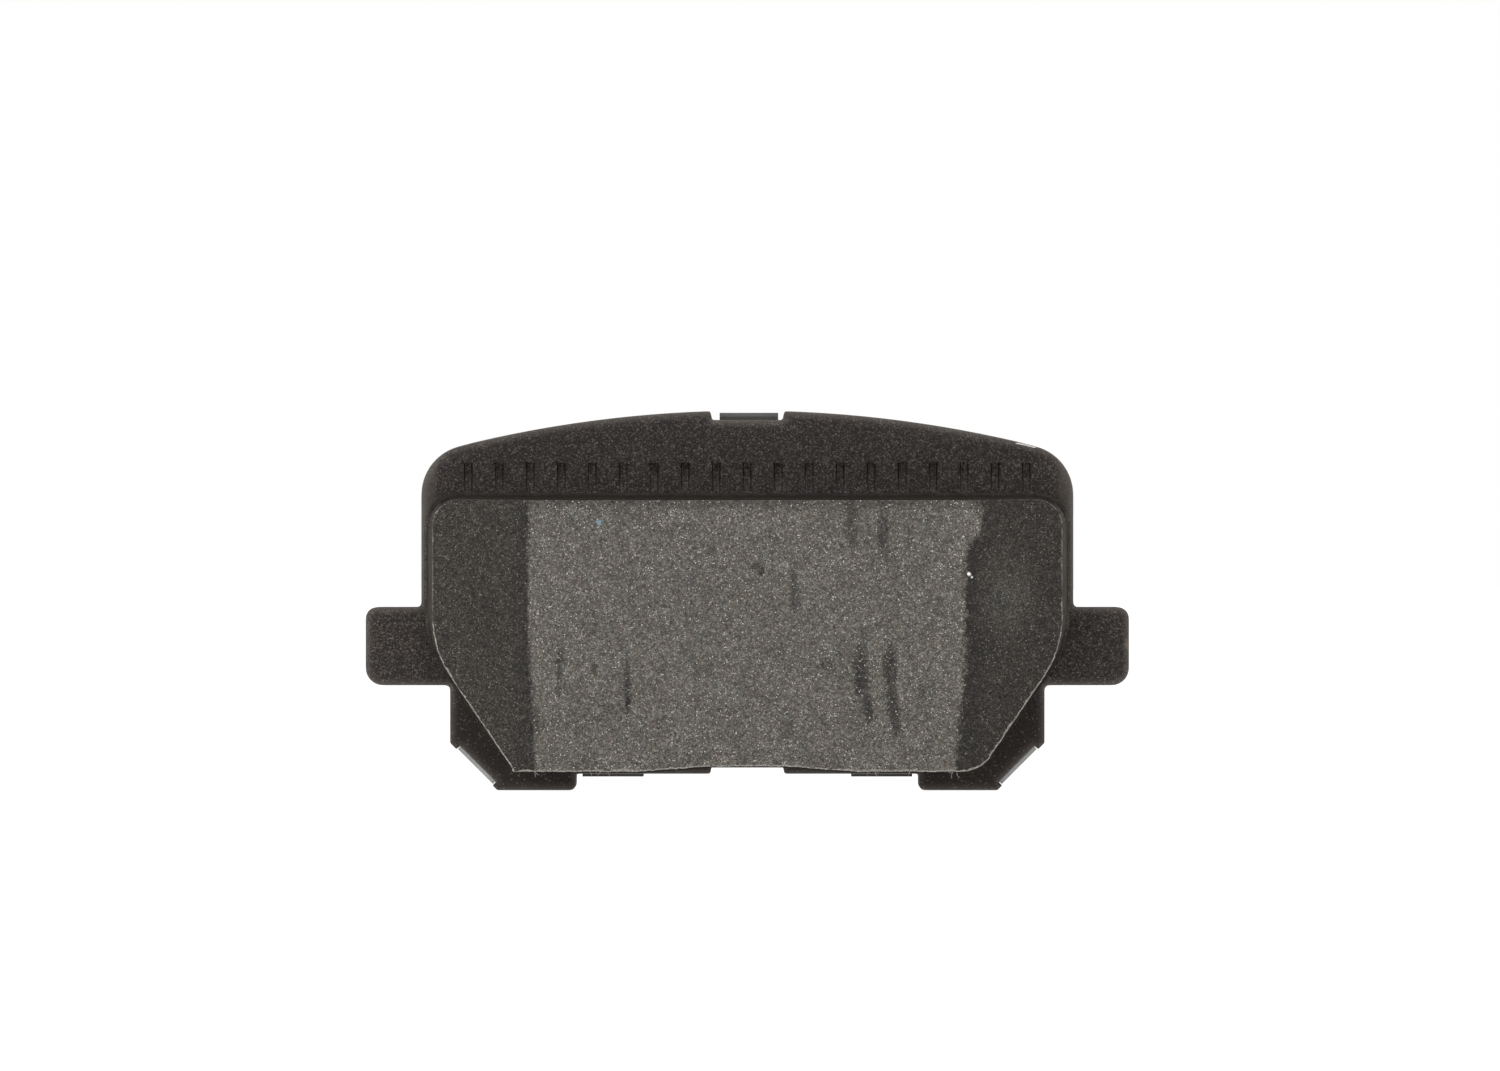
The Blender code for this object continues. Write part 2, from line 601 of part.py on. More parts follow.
def build_outer_shim(parts, tools, material):
    """Bare steel outer shim, with a tab over the top notch and one on each foot chamfer."""
    shim = flat_slab(
        "outer_shim", shim_outline(OUTER_SHIM_INSET), OUTER_SHIM_BACK, OUTER_SHIM_THICKNESS, parts)
    over_inner_tab = LAYER_GAP + INNER_CORE_THICKNESS + LAYER_GAP
    bend_radius = BEND_RADIUS + INNER_CORE_THICKNESS + LAYER_GAP
    top_fold = (TOP_TAB_OFFSET, TOP_NOTCH_FLOOR + over_inner_tab)
    top_tab = bent_tab(
        "outer_top_tab", TOP_TAB_WIDTH, TOP_TAB_REACH - INNER_CORE_BACK, top_fold, 0.0,
        OUTER_SHIM_BACK, OUTER_SHIM_THICKNESS, bend_radius, tools)
    add_boolean(shim, top_tab, "UNION")
    recess_middle = RECESS_UPPER_END + RECESS_LENGTH / 2.0
    fold_x, fold_z = foot_chamfer_point(recess_middle, RECESS_DEPTH - LAYER_GAP)
    chamfer_angle = math.atan2(LOWER_HALF_WIDTH - FOOT_OUTER, FOOT_CHAMFER_TOP - FOOT_BOTTOM)
    for side in (-1, 1):
        turn = side * (QUARTER_TURN + chamfer_angle)
        tab = bent_tab(
            f"outer_foot_tab_{side_name(side)}", FOOT_TAB_WIDTH, FOOT_TAB_REACH,
            (side * fold_x, fold_z), turn, OUTER_SHIM_BACK, OUTER_SHIM_THICKNESS, bend_radius, tools)
        add_boolean(shim, tab, "UNION")
        slot = flat_slab(
            f"shim_slot_cutter_{side_name(side)}", slot_outline(side * SHIM_SLOT_PITCH / 2.0),
            OUTER_SHIM_BACK + CUTTER_MARGIN, OUTER_SHIM_THICKNESS + 2.0 * CUTTER_MARGIN, tools)
        add_boolean(shim, slot, "DIFFERENCE")
    finish_node(shim, material)
    return shim


def build_brake_pad():
    """Build every piece of the pad, each as its own object."""
    clear_scene()
    parts = new_collection("brake_pad")
    tools = new_collection("brake_pad_cutters")
    powder_coat = new_material("black_powder_coat", (0.041, 0.037, 0.034), 0.62, 0.0)
    adhesive = new_material("phenolic_adhesive", (0.050, 0.035, 0.025), 0.50, 0.0)
    underlayer = new_material("moulded_underlayer", (0.032, 0.030, 0.028), 0.88, 0.0)
    lining = new_material("friction_lining", (0.135, 0.126, 0.112), 0.78, 0.0)
    rubber = new_material("shim_rubber", (0.020, 0.020, 0.021), 0.70, 0.0)
    coated_steel = new_material("coated_shim_steel", (0.045, 0.043, 0.042), 0.50, 0.4)
    bare_steel = new_material("bare_shim_steel", (0.560, 0.555, 0.545), 0.34, 1.0)
    build_backing_plate(parts, tools, powder_coat)
    build_bond_adhesive(parts, tools, adhesive)
    build_underlayer(parts, tools, underlayer)
    build_friction_block(parts, tools, lining)
    build_shim_layer("shim_adhesive", SHIM_ADHESIVE_BACK, SHIM_ADHESIVE_THICKNESS, parts, adhesive)
    build_shim_layer("inner_shim_rubber_front", RUBBER_FRONT_BACK, SHIM_RUBBER_THICKNESS, parts, rubber)
    build_inner_shim_core(parts, tools, coated_steel)
    build_shim_layer("inner_shim_rubber_back", RUBBER_BACK_BACK, SHIM_RUBBER_THICKNESS, parts, rubber)
    build_outer_shim(parts, tools, bare_steel)


build_brake_pad()
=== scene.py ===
import math
import random

import bmesh
import bpy
import numpy as np
from mathutils import Matrix, Vector, noise
from mathutils.geometry import delaunay_2d_cdt
from mathutils.kdtree import KDTree


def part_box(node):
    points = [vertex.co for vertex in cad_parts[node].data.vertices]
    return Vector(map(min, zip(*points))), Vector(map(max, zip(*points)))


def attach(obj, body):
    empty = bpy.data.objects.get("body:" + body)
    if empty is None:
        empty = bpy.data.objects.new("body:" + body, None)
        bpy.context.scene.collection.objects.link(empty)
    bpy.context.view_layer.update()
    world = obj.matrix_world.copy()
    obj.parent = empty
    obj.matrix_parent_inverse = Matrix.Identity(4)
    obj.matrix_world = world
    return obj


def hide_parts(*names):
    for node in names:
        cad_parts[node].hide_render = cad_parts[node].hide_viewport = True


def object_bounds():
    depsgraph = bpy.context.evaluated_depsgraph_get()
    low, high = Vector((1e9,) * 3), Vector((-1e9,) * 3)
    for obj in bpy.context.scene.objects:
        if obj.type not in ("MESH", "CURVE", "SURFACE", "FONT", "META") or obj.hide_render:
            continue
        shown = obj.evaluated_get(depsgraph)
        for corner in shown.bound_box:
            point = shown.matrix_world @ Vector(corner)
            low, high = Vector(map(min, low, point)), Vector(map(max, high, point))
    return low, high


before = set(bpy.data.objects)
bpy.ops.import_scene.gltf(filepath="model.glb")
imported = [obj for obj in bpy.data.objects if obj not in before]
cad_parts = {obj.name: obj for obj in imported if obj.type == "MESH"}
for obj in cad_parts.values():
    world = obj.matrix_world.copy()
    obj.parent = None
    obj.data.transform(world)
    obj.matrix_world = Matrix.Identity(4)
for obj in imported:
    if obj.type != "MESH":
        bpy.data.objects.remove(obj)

cad_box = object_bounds()

MM = 0.001
WELD = 0.0005 * MM


def mm(*lengths):
    """Millimetres as metres."""
    return tuple(length * MM for length in lengths)



PLATE_LOW, PLATE_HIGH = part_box("backing_plate")
BLOCK_LOW, BLOCK_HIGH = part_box("friction_block")
PLATE_FRONT, PLATE_BACK = PLATE_LOW.y, PLATE_HIGH.y
FACE, BLOCK_BACK = BLOCK_LOW.y, BLOCK_HIGH.y
BLOCK_DEPTH = BLOCK_BACK - FACE

# ------------------------------ outlines and fills


def slice_loops(node, depth):
    """Closed (x, z) outlines where the plane Y = depth cuts a CAD node, the longest first."""
    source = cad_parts[node]
    solid = bmesh.new()
    solid.from_mesh(source.data)
    solid.transform(source.matrix_world)
    bmesh.ops.remove_doubles(solid, verts=solid.verts, dist=WELD)
    everything = solid.verts[:] + solid.edges[:] + solid.faces[:]
    cut = bmesh.ops.bisect_plane(
        solid, geom=everything, dist=WELD, plane_co=(0.0, depth, 0.0), plane_no=(0.0, 1.0, 0.0))
    neighbours = {}
    for item in cut["geom_cut"]:
        if isinstance(item, bmesh.types.BMEdge):
            first, second = item.verts
            neighbours.setdefault(first, []).append(second)
            neighbours.setdefault(second, []).append(first)
    loops = []
    waiting = dict.fromkeys(neighbours)
    while waiting:
        here = next(iter(waiting))
        before = None
        loop = []
        while here in waiting:
            del waiting[here]
            loop.append((here.co.x, here.co.z))
            onward = [other for other in neighbours[here] if other is not before]
            before = here
            here = onward[0]
        loops.append(np.array(loop))
    solid.free()
    loops.sort(key=perimeter, reverse=True)
    return [turned_left(without_straight_points(loop)) for loop in loops]


def perimeter(loop):
    """Length round a closed outline."""
    return np.hypot(*(np.roll(loop, -1, axis=0) - loop).T).sum()


def without_straight_points(loop):
    """Drop the points of an outline that lie on a straight line between their neighbours."""
    before = loop - np.roll(loop, 1, axis=0)
    after = np.roll(loop, -1, axis=0) - loop
    cross = before[:, 0] * after[:, 1] - before[:, 1] * after[:, 0]
    sine = np.abs(cross) / np.maximum(np.hypot(*before.T) * np.hypot(*after.T), 1e-18)
    return loop[sine > 1e-4]


def turned_left(loop):
    """Make an outline run anticlockwise in (x, z)."""
    x, z = loop.T
    area = (x * np.roll(z, -1) - np.roll(x, -1) * z).sum()
    return loop if area > 0.0 else loop[::-1]


def dense(loop, spacing):
    """Add points to an outline so that none are further apart than the spacing."""
    points = []
    for start, end in zip(loop, np.roll(loop, -1, axis=0)):
        pieces = max(1, math.ceil(math.dist(start, end) / spacing))
        points += [start + (end - start) * step / pieces for step in range(pieces)]
    return np.array(points)


def inward(loop):
    """Unit normals of an anticlockwise outline, towards its inside."""
    along = np.roll(loop, -1, axis=0) - np.roll(loop, 1, axis=0)
    along /= np.hypot(*along.T)[:, None]
    return np.stack([-along[:, 1], along[:, 0]], axis=1)


def nearest_numbers(points, loop):
    """For each point, the number of the outline point nearest to it."""
    tree = KDTree(len(loop))
    for number, (x, z) in enumerate(loop):
        tree.insert((x, z, 0.0), number)
    tree.balance()
    return np.array([tree.find((x, z, 0.0))[1] for x, z in points], dtype=int)


def edge_distance(points, loop):
    """Distance from each point to an outline, measured to the sides of its nearest corner."""
    corner = nearest_numbers(points, loop)
    nearest = np.full(len(points), np.inf)
    for side in (-1, 1):
        start = loop[corner]
        step = loop[(corner + side) % len(loop)] - start
        offset = points - start
        share = np.clip((offset * step).sum(axis=1) / (step ** 2).sum(axis=1), 0.0, 1.0)
        gap = offset - share[:, None] * step
        nearest = np.minimum(nearest, np.hypot(*gap.T))
    return nearest


def inside(points, loop):
    """Which points lie inside an outline."""
    x, z = points.T
    crossings = np.zeros(len(points), dtype=int)
    for (x0, z0), (x1, z1) in zip(loop, np.roll(loop, -1, axis=0)):
        if z0 == z1:
            continue
        spans = (z0 > z) != (z1 > z)
        crossings += spans & (x < x0 + (z - z0) * (x1 - x0) / (z1 - z0))
    return crossings % 2 == 1


# The least share of its intended distance from the rim that a point of a row keeps
TRUE_DISTANCE = 0.93
# Height of a row of staggered points over their spacing
ROW_HEIGHT = 0.87


def rim_rows(loop, distances):
    """Rows of points parallel to an outline, left out where they would bunch up in a corner."""
    rows = []
    normals = inward(loop)
    for distance in distances:
        row = loop + normals * distance
        keep = inside(row, loop) & (edge_distance(row, loop) > distance * TRUE_DISTANCE)
        rows.append(row[keep])
    return np.vstack(rows)


def grid_rows(loop, spacing, margin):
    """A staggered grid of points inside an outline, clear of its rim."""
    low = loop.min(axis=0)
    high = loop.max(axis=0)
    rows = []
    heights = np.arange(low[1], high[1], spacing * ROW_HEIGHT)
    for number, z in enumerate(heights):
        x = np.arange(low[0] + (number % 2) * spacing / 2.0, high[0], spacing)
        rows.append(np.stack([x, np.full_like(x, z)], axis=1))
    points = np.vstack(rows)
    points = points[inside(points, loop)]
    return points[edge_distance(points, loop) > margin]


def triangulated(loops, scattered, chains=()):
    """Triangles between closed outlines, through scattered points and along open chains.

    The first outline is the outer one.  Returns the points, the triangles and, for each
    point, the number of the input point it came from.
    """
    points = np.vstack([*loops, *chains, scattered])
    edges = []
    start = 0
    for loop in loops:
        edges += [(start + i, start + (i + 1) % len(loop)) for i in range(len(loop))]
        start += len(loop)
    for chain in chains:
        edges += [(start + i, start + i + 1) for i in range(len(chain) - 1)]
        start += len(chain)
    made = delaunay_2d_cdt([Vector(point) for point in points.tolist()], edges, [], 1, 1e-9)
    where = np.array([tuple(point) for point in made[0]])
    origin = np.array([found[0] if found else -1 for found in made[3]])
    return where, np.array(made[2]), origin


def value_noise(points, size, seed):
    """Smooth noise between -1 and 1 at (x, z) points, with features of the given size."""
    return np.array([noise.noise((x / size, seed, z / size)) for x, z in points])


def wall_noise(x, y, z, across, deep):
    """Smooth noise between -1 and 1 on a wall, with its own feature size along Y."""
    return noise.noise((x / across, y / deep, z / across))


# ------------------------------ meshes

# How often an outline's corners are eased
EASING_PASSES = 2
# A slab's rows of points near its rim, the spacing further in, and the steps down its wall
SLAB_RIM = mm(0.1, 0.2, 0.35, 0.55, 0.8, 1.1)
SLAB_SPACING = 0.8 * MM
WALL_STEPS = 6
# Room kept clear round a hole and a feature, and the width over which a feature steps down
HOLE_ROOM = 0.1 * MM
FEATURE_ROOM = 0.05 * MM
FEATURE_STEP = 0.03 * MM
# Feature sizes of a slab's wall noise, across and along Y
SLAB_WALL_FINE = mm(0.5, 0.9)
SLAB_WALL_COARSE = mm(2.0, 1.5)
# Width of the rim mask (the coat's wear and painted highlight), and the depth at which a slit is fully
# painted dark as shade
RIM_FADE = 1.3 * MM
SLIT_DEPTH = 0.1 * MM


def new_piece(name, vertices, faces, materials, face_material=None):
    """Make a mesh object whose faces look outward."""
    mesh = bpy.data.meshes.new(name)
    mesh.from_pydata([tuple(v) for v in vertices], [], [tuple(f) for f in faces])
    for material in materials:
        mesh.materials.append(material)
    if face_material is not None:
        mesh.polygons.foreach_set("material_index", np.asarray(face_material, dtype=np.int32))
    shaped = bmesh.new()
    shaped.from_mesh(mesh)
    bmesh.ops.recalc_face_normals(shaped, faces=shaped.faces)
    shaped.to_mesh(mesh)
    shaped.free()
    mesh.shade_smooth()
    piece = bpy.data.objects.new(name, mesh)
    bpy.context.scene.collection.objects.link(piece)
    return piece


def paint(piece, name, values):
    """Store one value per mesh point."""
    layer = piece.data.attributes.new(name, "FLOAT", "POINT")
    layer.data.foreach_set("value", np.asarray(values, dtype=np.float32))


def softened(loop):
    """A finely divided outline with its sharp corners eased."""
    for _ in range(EASING_PASSES):
        loop = loop * 0.5 + (np.roll(loop, 1, axis=0) + np.roll(loop, -1, axis=0)) * 0.25
    return loop


def slab(name, loops, front, back, front_features, point_spacing, wall_rough, material):
    """A flat part between two Y depths, its faces shaped by functions of place and rim distance.

    front and back take (points, distances) and give each point's Y.  A feature is a closed
    loop and an offset: the front steps back by that offset inside the loop.
    """
    borders = [softened(dense(loop, point_spacing)) for loop in loops]
    outer = borders[0]
    caps = []
    for shape, features in ((front, front_features), (back, ())):
        scattered = np.vstack([
            rim_rows(outer, SLAB_RIM),
            grid_rows(outer, SLAB_SPACING, max(SLAB_RIM) + SLAB_SPACING / 3.0)])
        for hole in loops[1:]:
            scattered = scattered[~inside(scattered, hole)]
            scattered = scattered[edge_distance(scattered, hole) > HOLE_ROOM]
        lines = []
        offsets = []
        for loop, offset in features:
            inner = loop + inward(loop) * FEATURE_STEP
            scattered = scattered[edge_distance(scattered, loop) > FEATURE_ROOM]
            lines += [loop, inner]
            offsets += [np.zeros(len(loop)), np.full(len(inner), offset)]
        free = np.zeros(len(scattered))
        for loop, offset in features:
            free[inside(scattered, loop)] = offset
        where, faces, origin = triangulated([*borders, *lines], scattered)
        step = np.concatenate([np.zeros(sum(map(len, borders))), *offsets, free])[origin]
        middles = where[faces].mean(axis=1)
        for hole in loops[1:]:
            keep = ~inside(middles, hole)
            faces, middles = faces[keep], middles[keep]
        depth = shape(where, edge_distance(where, outer)) + step
        caps.append((where, faces, origin, depth, step))
    vertices = []
    polygons = []
    number_of = []
    for where, faces, origin, depth, _ in caps:
        start = len(vertices)
        number_of.append({int(source): start + index for index, source in enumerate(origin)})
        polygons += (faces + start).tolist()
        vertices += np.stack([where[:, 0], depth, where[:, 1]], axis=1).tolist()
    first = 0
    for border in borders:
        count = len(border)
        normals = inward(border)
        top = [number_of[0][first + i] for i in range(count)]
        bottom = [number_of[1][first + i] for i in range(count)]
        rings = [top]
        for level in range(1, WALL_STEPS):
            share = level / WALL_STEPS
            ring = []
            for i in range(count):
                y = vertices[top[i]][1] * (1.0 - share) + vertices[bottom[i]][1] * share
                x, z = border[i]
                fine = wall_noise(x, y, z, *SLAB_WALL_FINE)
                coarse = wall_noise(x, y, z, *SLAB_WALL_COARSE)
                sunk = wall_rough * (0.6 + 0.5 * coarse + 0.5 * fine)
                ring.append(len(vertices))
                vertices.append((x + normals[i, 0] * sunk, y, z + normals[i, 1] * sunk))
            rings.append(ring)
        rings.append(bottom)
        for upper, lower in zip(rings, rings[1:]):
            polygons += [(upper[i], upper[(i + 1) % count], lower[(i + 1) % count], lower[i])
                         for i in range(count)]
        first += count
    piece = new_piece(name, vertices, polygons, [material])
    places = np.array(vertices)[:, [0, 2]]
    # Rim mask for the coat's paler rim, which is partly wear and partly a painted highlight
    rim_share = 1.0 - edge_distance(places, outer) / RIM_FADE
    paint(piece, "rim", np.clip(rim_share, 0.0, 1.0))
    # Painted shade in the slits: 0 on the face, 1 where the front steps back by a slit's depth or more
    deep = np.zeros(len(places))
    front_where, *_, front_step = caps[0]
    deep[:len(front_where)] = np.clip(front_step / SLIT_DEPTH, 0.0, 1.0)
    paint(piece, "slit", deep)
    return piece


# ------------------------------ node materials


# How far a frayed border wanders, as a share of the patch
FRAY = 1.6
# Which random numbers make a thread show, and where it fades out, in shares of its cell
FIBRE_CHOICE = (0.95, 0.97)
FIBRE_BODY = (0.12, 0.35)
# The inputs of a Map Range node in the order used here
RANGE_LIMITS = ("From Min", "From Max", "To Min", "To Max")


class Look:
    """A Principled material under construction, with short helpers for its nodes."""

    def __init__(self, name, roughness, metallic=0.0, specular=0.5):
        self.material = bpy.data.materials.new(name)
        self.material.use_nodes = True
        self.tree = self.material.node_tree
        self.shader = self.tree.nodes["Principled BSDF"]
        self.shader.inputs["Roughness"].default_value = roughness
        self.shader.inputs["Metallic"].default_value = metallic
        self.shader.inputs["Specular IOR Level"].default_value = specular
        self.place = self.tree.nodes.new("ShaderNodeTexCoord").outputs["Object"]

    def put(self, socket, value):
        """Link a socket to another, or set its value."""
        if isinstance(value, bpy.types.NodeSocket):
            self.tree.links.new(value, socket)
        elif isinstance(value, tuple) and len(value) == 3 and socket.type == "RGBA":
            socket.default_value = (*value, 1.0)
        else:
            socket.default_value = value

    def new(self, kind, **inputs):
        """Make a node, its inputs linked or set by name."""
        node = self.tree.nodes.new("ShaderNode" + kind)
        for name, value in inputs.items():
            self.put(node.inputs[name], value)
        return node

    def math(self, operation, first, second=0.0, third=0.0):
        """One arithmetic step."""
        node = self.new("Math")
        node.operation = operation
        for socket, value in zip(node.inputs, (first, second, third)):
            self.put(socket, value)
        return node.outputs[0]

    def times(self, first, second):
        """Two values multiplied."""
        return self.math("MULTIPLY", first, second)

    def axis(self, name):
        """One coordinate of the place."""
        return self.new("SeparateXYZ", Vector=self.place).outputs[name]

    def moved(self, scale=(1.0, 1.0, 1.0), turn=(0.0, 0.0, 0.0)):
        """The place, turned and then divided by a length along each axis."""
        node = self.new("Mapping")
        node.vector_type = "TEXTURE"
        for name, value in (("Vector", self.place), ("Scale", scale), ("Rotation", turn)):
            self.put(node.inputs[name], value)
        return node.outputs[0]

    def shaken(self, size, amount):
        """The place, pushed about by noise, so that cells lose their even shape."""
        noises = self.new("TexNoise", Vector=self.place, Scale=1.0 / size, Detail=2.0)
        shift = self.new("VectorMath")
        shift.operation = "MULTIPLY_ADD"
        for socket, value in zip(shift.inputs, (noises.outputs["Color"], (amount,) * 3, self.place)):
            self.put(socket, value)
        return shift.outputs[0]

    def painted(self, name):
        """A value stored on the mesh's points."""
        node = self.new("Attribute")
        node.attribute_name = name
        return node.outputs["Fac"]

    def clouds(self, size, detail=2.0, roughness=0.5, source=None):
        """Noise with features of the given size, from 0 to 1."""
        return self.new("TexNoise", Vector=source or self.place, Scale=1.0 / size,
                        Detail=detail, Roughness=roughness).outputs["Fac"]

    def cells(self, size, source=None):
        """A pattern of cells of the given size."""
        return self.new("TexVoronoi", Vector=source or self.place, Scale=1.0 / size)

    def from_centre(self, size, source=None):
        """Distance from the middle of the nearest cell, over the cells' size."""
        return self.cells(size, source).outputs["Distance"]

    def grains(self, size, source=None):
        """An even random number from 0 to 1 for each cell."""
        return self.new("SeparateColor", Color=self.cells(size, source).outputs["Color"]).outputs[0]

    def between(self, value, low, high, out_low=0.0, out_high=1.0, smooth=True):
        """Map a range of a value to another, held at both ends."""
        node = self.new("MapRange", Value=value)
        node.interpolation_type = "SMOOTHSTEP" if smooth else "LINEAR"
        for name, number in zip(RANGE_LIMITS, (low, high, out_low, out_high)):
            self.put(node.inputs[name], number)
        return node.outputs["Result"]

    def ramp(self, value, *stops):
        """Colours along a value, given as (position, colour) pairs."""
        node = self.new("ValToRGB", Fac=value)
        elements = node.color_ramp.elements
        while len(elements) < len(stops):
            elements.new(0.5)
        for element, (position, colour) in zip(elements, stops):
            element.position = position
            element.color = (*colour, 1.0)
        return node.outputs["Color"]

    def mix(self, share, first, second, blend="MIX"):
        """Mix two colours."""
        node = self.new("Mix")
        node.data_type = "RGBA"
        node.blend_type = blend
        for number, value in ((0, share), (6, first), (7, second)):
            self.put(node.inputs[number], value)
        return node.outputs[2]

    def patch(self, x, z, half_width, half_height, softness, lean=0.0, blur=None):
        """A soft upright oval at (x, z), from 0 outside to 1 in its middle.

        lean is how far its middle moves along X for each unit up; blur frays its border.
        """
        up = self.math("DIVIDE", self.math("SUBTRACT", self.axis("Z"), z), half_height)
        middle = self.math("MULTIPLY_ADD", up, lean * half_height, x)
        along = self.math("DIVIDE", self.math("SUBTRACT", self.axis("X"), middle), half_width)
        squares = self.math("MULTIPLY_ADD", along, along, self.times(up, up))
        radius = self.math("SQRT", squares)
        if blur is not None:
            radius = self.math("MULTIPLY_ADD", blur, FRAY, radius)
        return self.between(radius, 1.0 - softness, 1.0, 1.0, 0.0)

    def fibres(self, width, length, turn):
        """Rare fine threads lying across the X-Z plane."""
        lying = self.moved(scale=(length, length, width), turn=(0.0, turn, 0.0))
        chosen = self.between(self.grains(1.0, lying), *FIBRE_CHOICE)
        body = self.between(self.from_centre(1.0, lying), *FIBRE_BODY, 1.0, 0.0)
        return self.times(chosen, body)

    def tinted(self, colour, value):
        """A colour multiplied by a grey value."""
        node = self.new("VectorMath")
        node.operation = "SCALE"
        self.put(node.inputs[0], colour)
        self.put(node.inputs["Scale"], value)
        return node.outputs[0]

    def bump(self, height, distance, strength):
        """Turn a height into a surface normal; distance is the height of a full step."""
        return self.new("Bump", Height=height, Distance=distance, Strength=strength).outputs[0]

    def finish(self, colour, roughness=None, normal=None):
        """Link the finished colour, roughness and normal to the shader."""
        for socket, value in (("Base Color", colour), ("Roughness", roughness), ("Normal", normal)):
            if value is not None:
                self.put(self.shader.inputs[socket], value)
        return self.material


def srgb(red, green, blue):
    """Linear colour of an sRGB triple given from 0 to 255."""
    def linear(value):
        share = value / 255.0
        return share / 12.92 if share <= 0.04045 else ((share + 0.055) / 1.055) ** 2.4
    return (linear(red), linear(green), linear(blue))


# The range of a noise pattern that its variations are spread over
NOISE_RANGE = (0.3, 0.7)

# Powder coat: grain size, tones from its pits to its peaks, its stains, and its painted light and
# highlight
COAT_GRAIN = 0.15 * MM
COAT_TONES = ((0.35, srgb(3, 2, 2)), (0.62, srgb(17, 11, 9)), (0.80, srgb(31, 25, 22)),
              (1.00, srgb(75, 69, 63)))
COAT_SPECK = srgb(98, 97, 96)
COAT_LIT = srgb(68, 63, 58)
COAT_BROWN = srgb(25, 15, 6)
COAT_WEAR_AND_HIGHLIGHT = srgb(104, 96, 89)
BARE_METAL_AND_GLINT = srgb(215, 213, 208)
OCHRE_STAIN = srgb(120, 112, 84)
# Where the coat turns darker and browner towards the feet, the row of grooves and the left ear,
# both painted lighter as light, and the strips beside the ears painted lighter to offset the
# block's shade, with their upper end
BROWN_HEIGHTS = mm(-8.5, -5.5)
GROOVE_ROW_MIDDLE = 21.6 * MM
GROOVE_ROW_HALF = mm(1.8, 2.8)
LEFT_EAR = mm(-43.0, -40.5)
LIT_SIDES = mm(39.2, 40.2)
LIT_SIDES_TOP = mm(5.0, 6.5)
# Where the paler rim, partly rubbed wear and partly a painted highlight of the rounded edge, fades by
# height and by depth, and where marks on the front end
RIM_WEAR_AND_HIGHLIGHT_HEIGHTS = mm(-9.0, -5.0)
RIM_WEAR_AND_HIGHLIGHT_DEPTHS = (PLATE_FRONT + 0.6 * MM, PLATE_FRONT + 1.8 * MM)
MARK_DEPTHS = (PLATE_FRONT + 0.4 * MM, PLATE_FRONT + 0.8 * MM)
# Bare scrape on the rim, upper right, with its glint painted in as a bright highlight: the places of
# its parts in mm, and half their size
SCRAPE_PLACES = ((34.6, 25.89), (35.1, 25.80), (35.6, 25.69), (36.1, 25.57), (36.6, 25.44))
SCRAPE_HALF = mm(0.50, 0.13)
# Stain on the right ear: middle x and z, half width and half height
STAIN_OVAL = mm(48.6, 0.2, 0.8, 0.9)


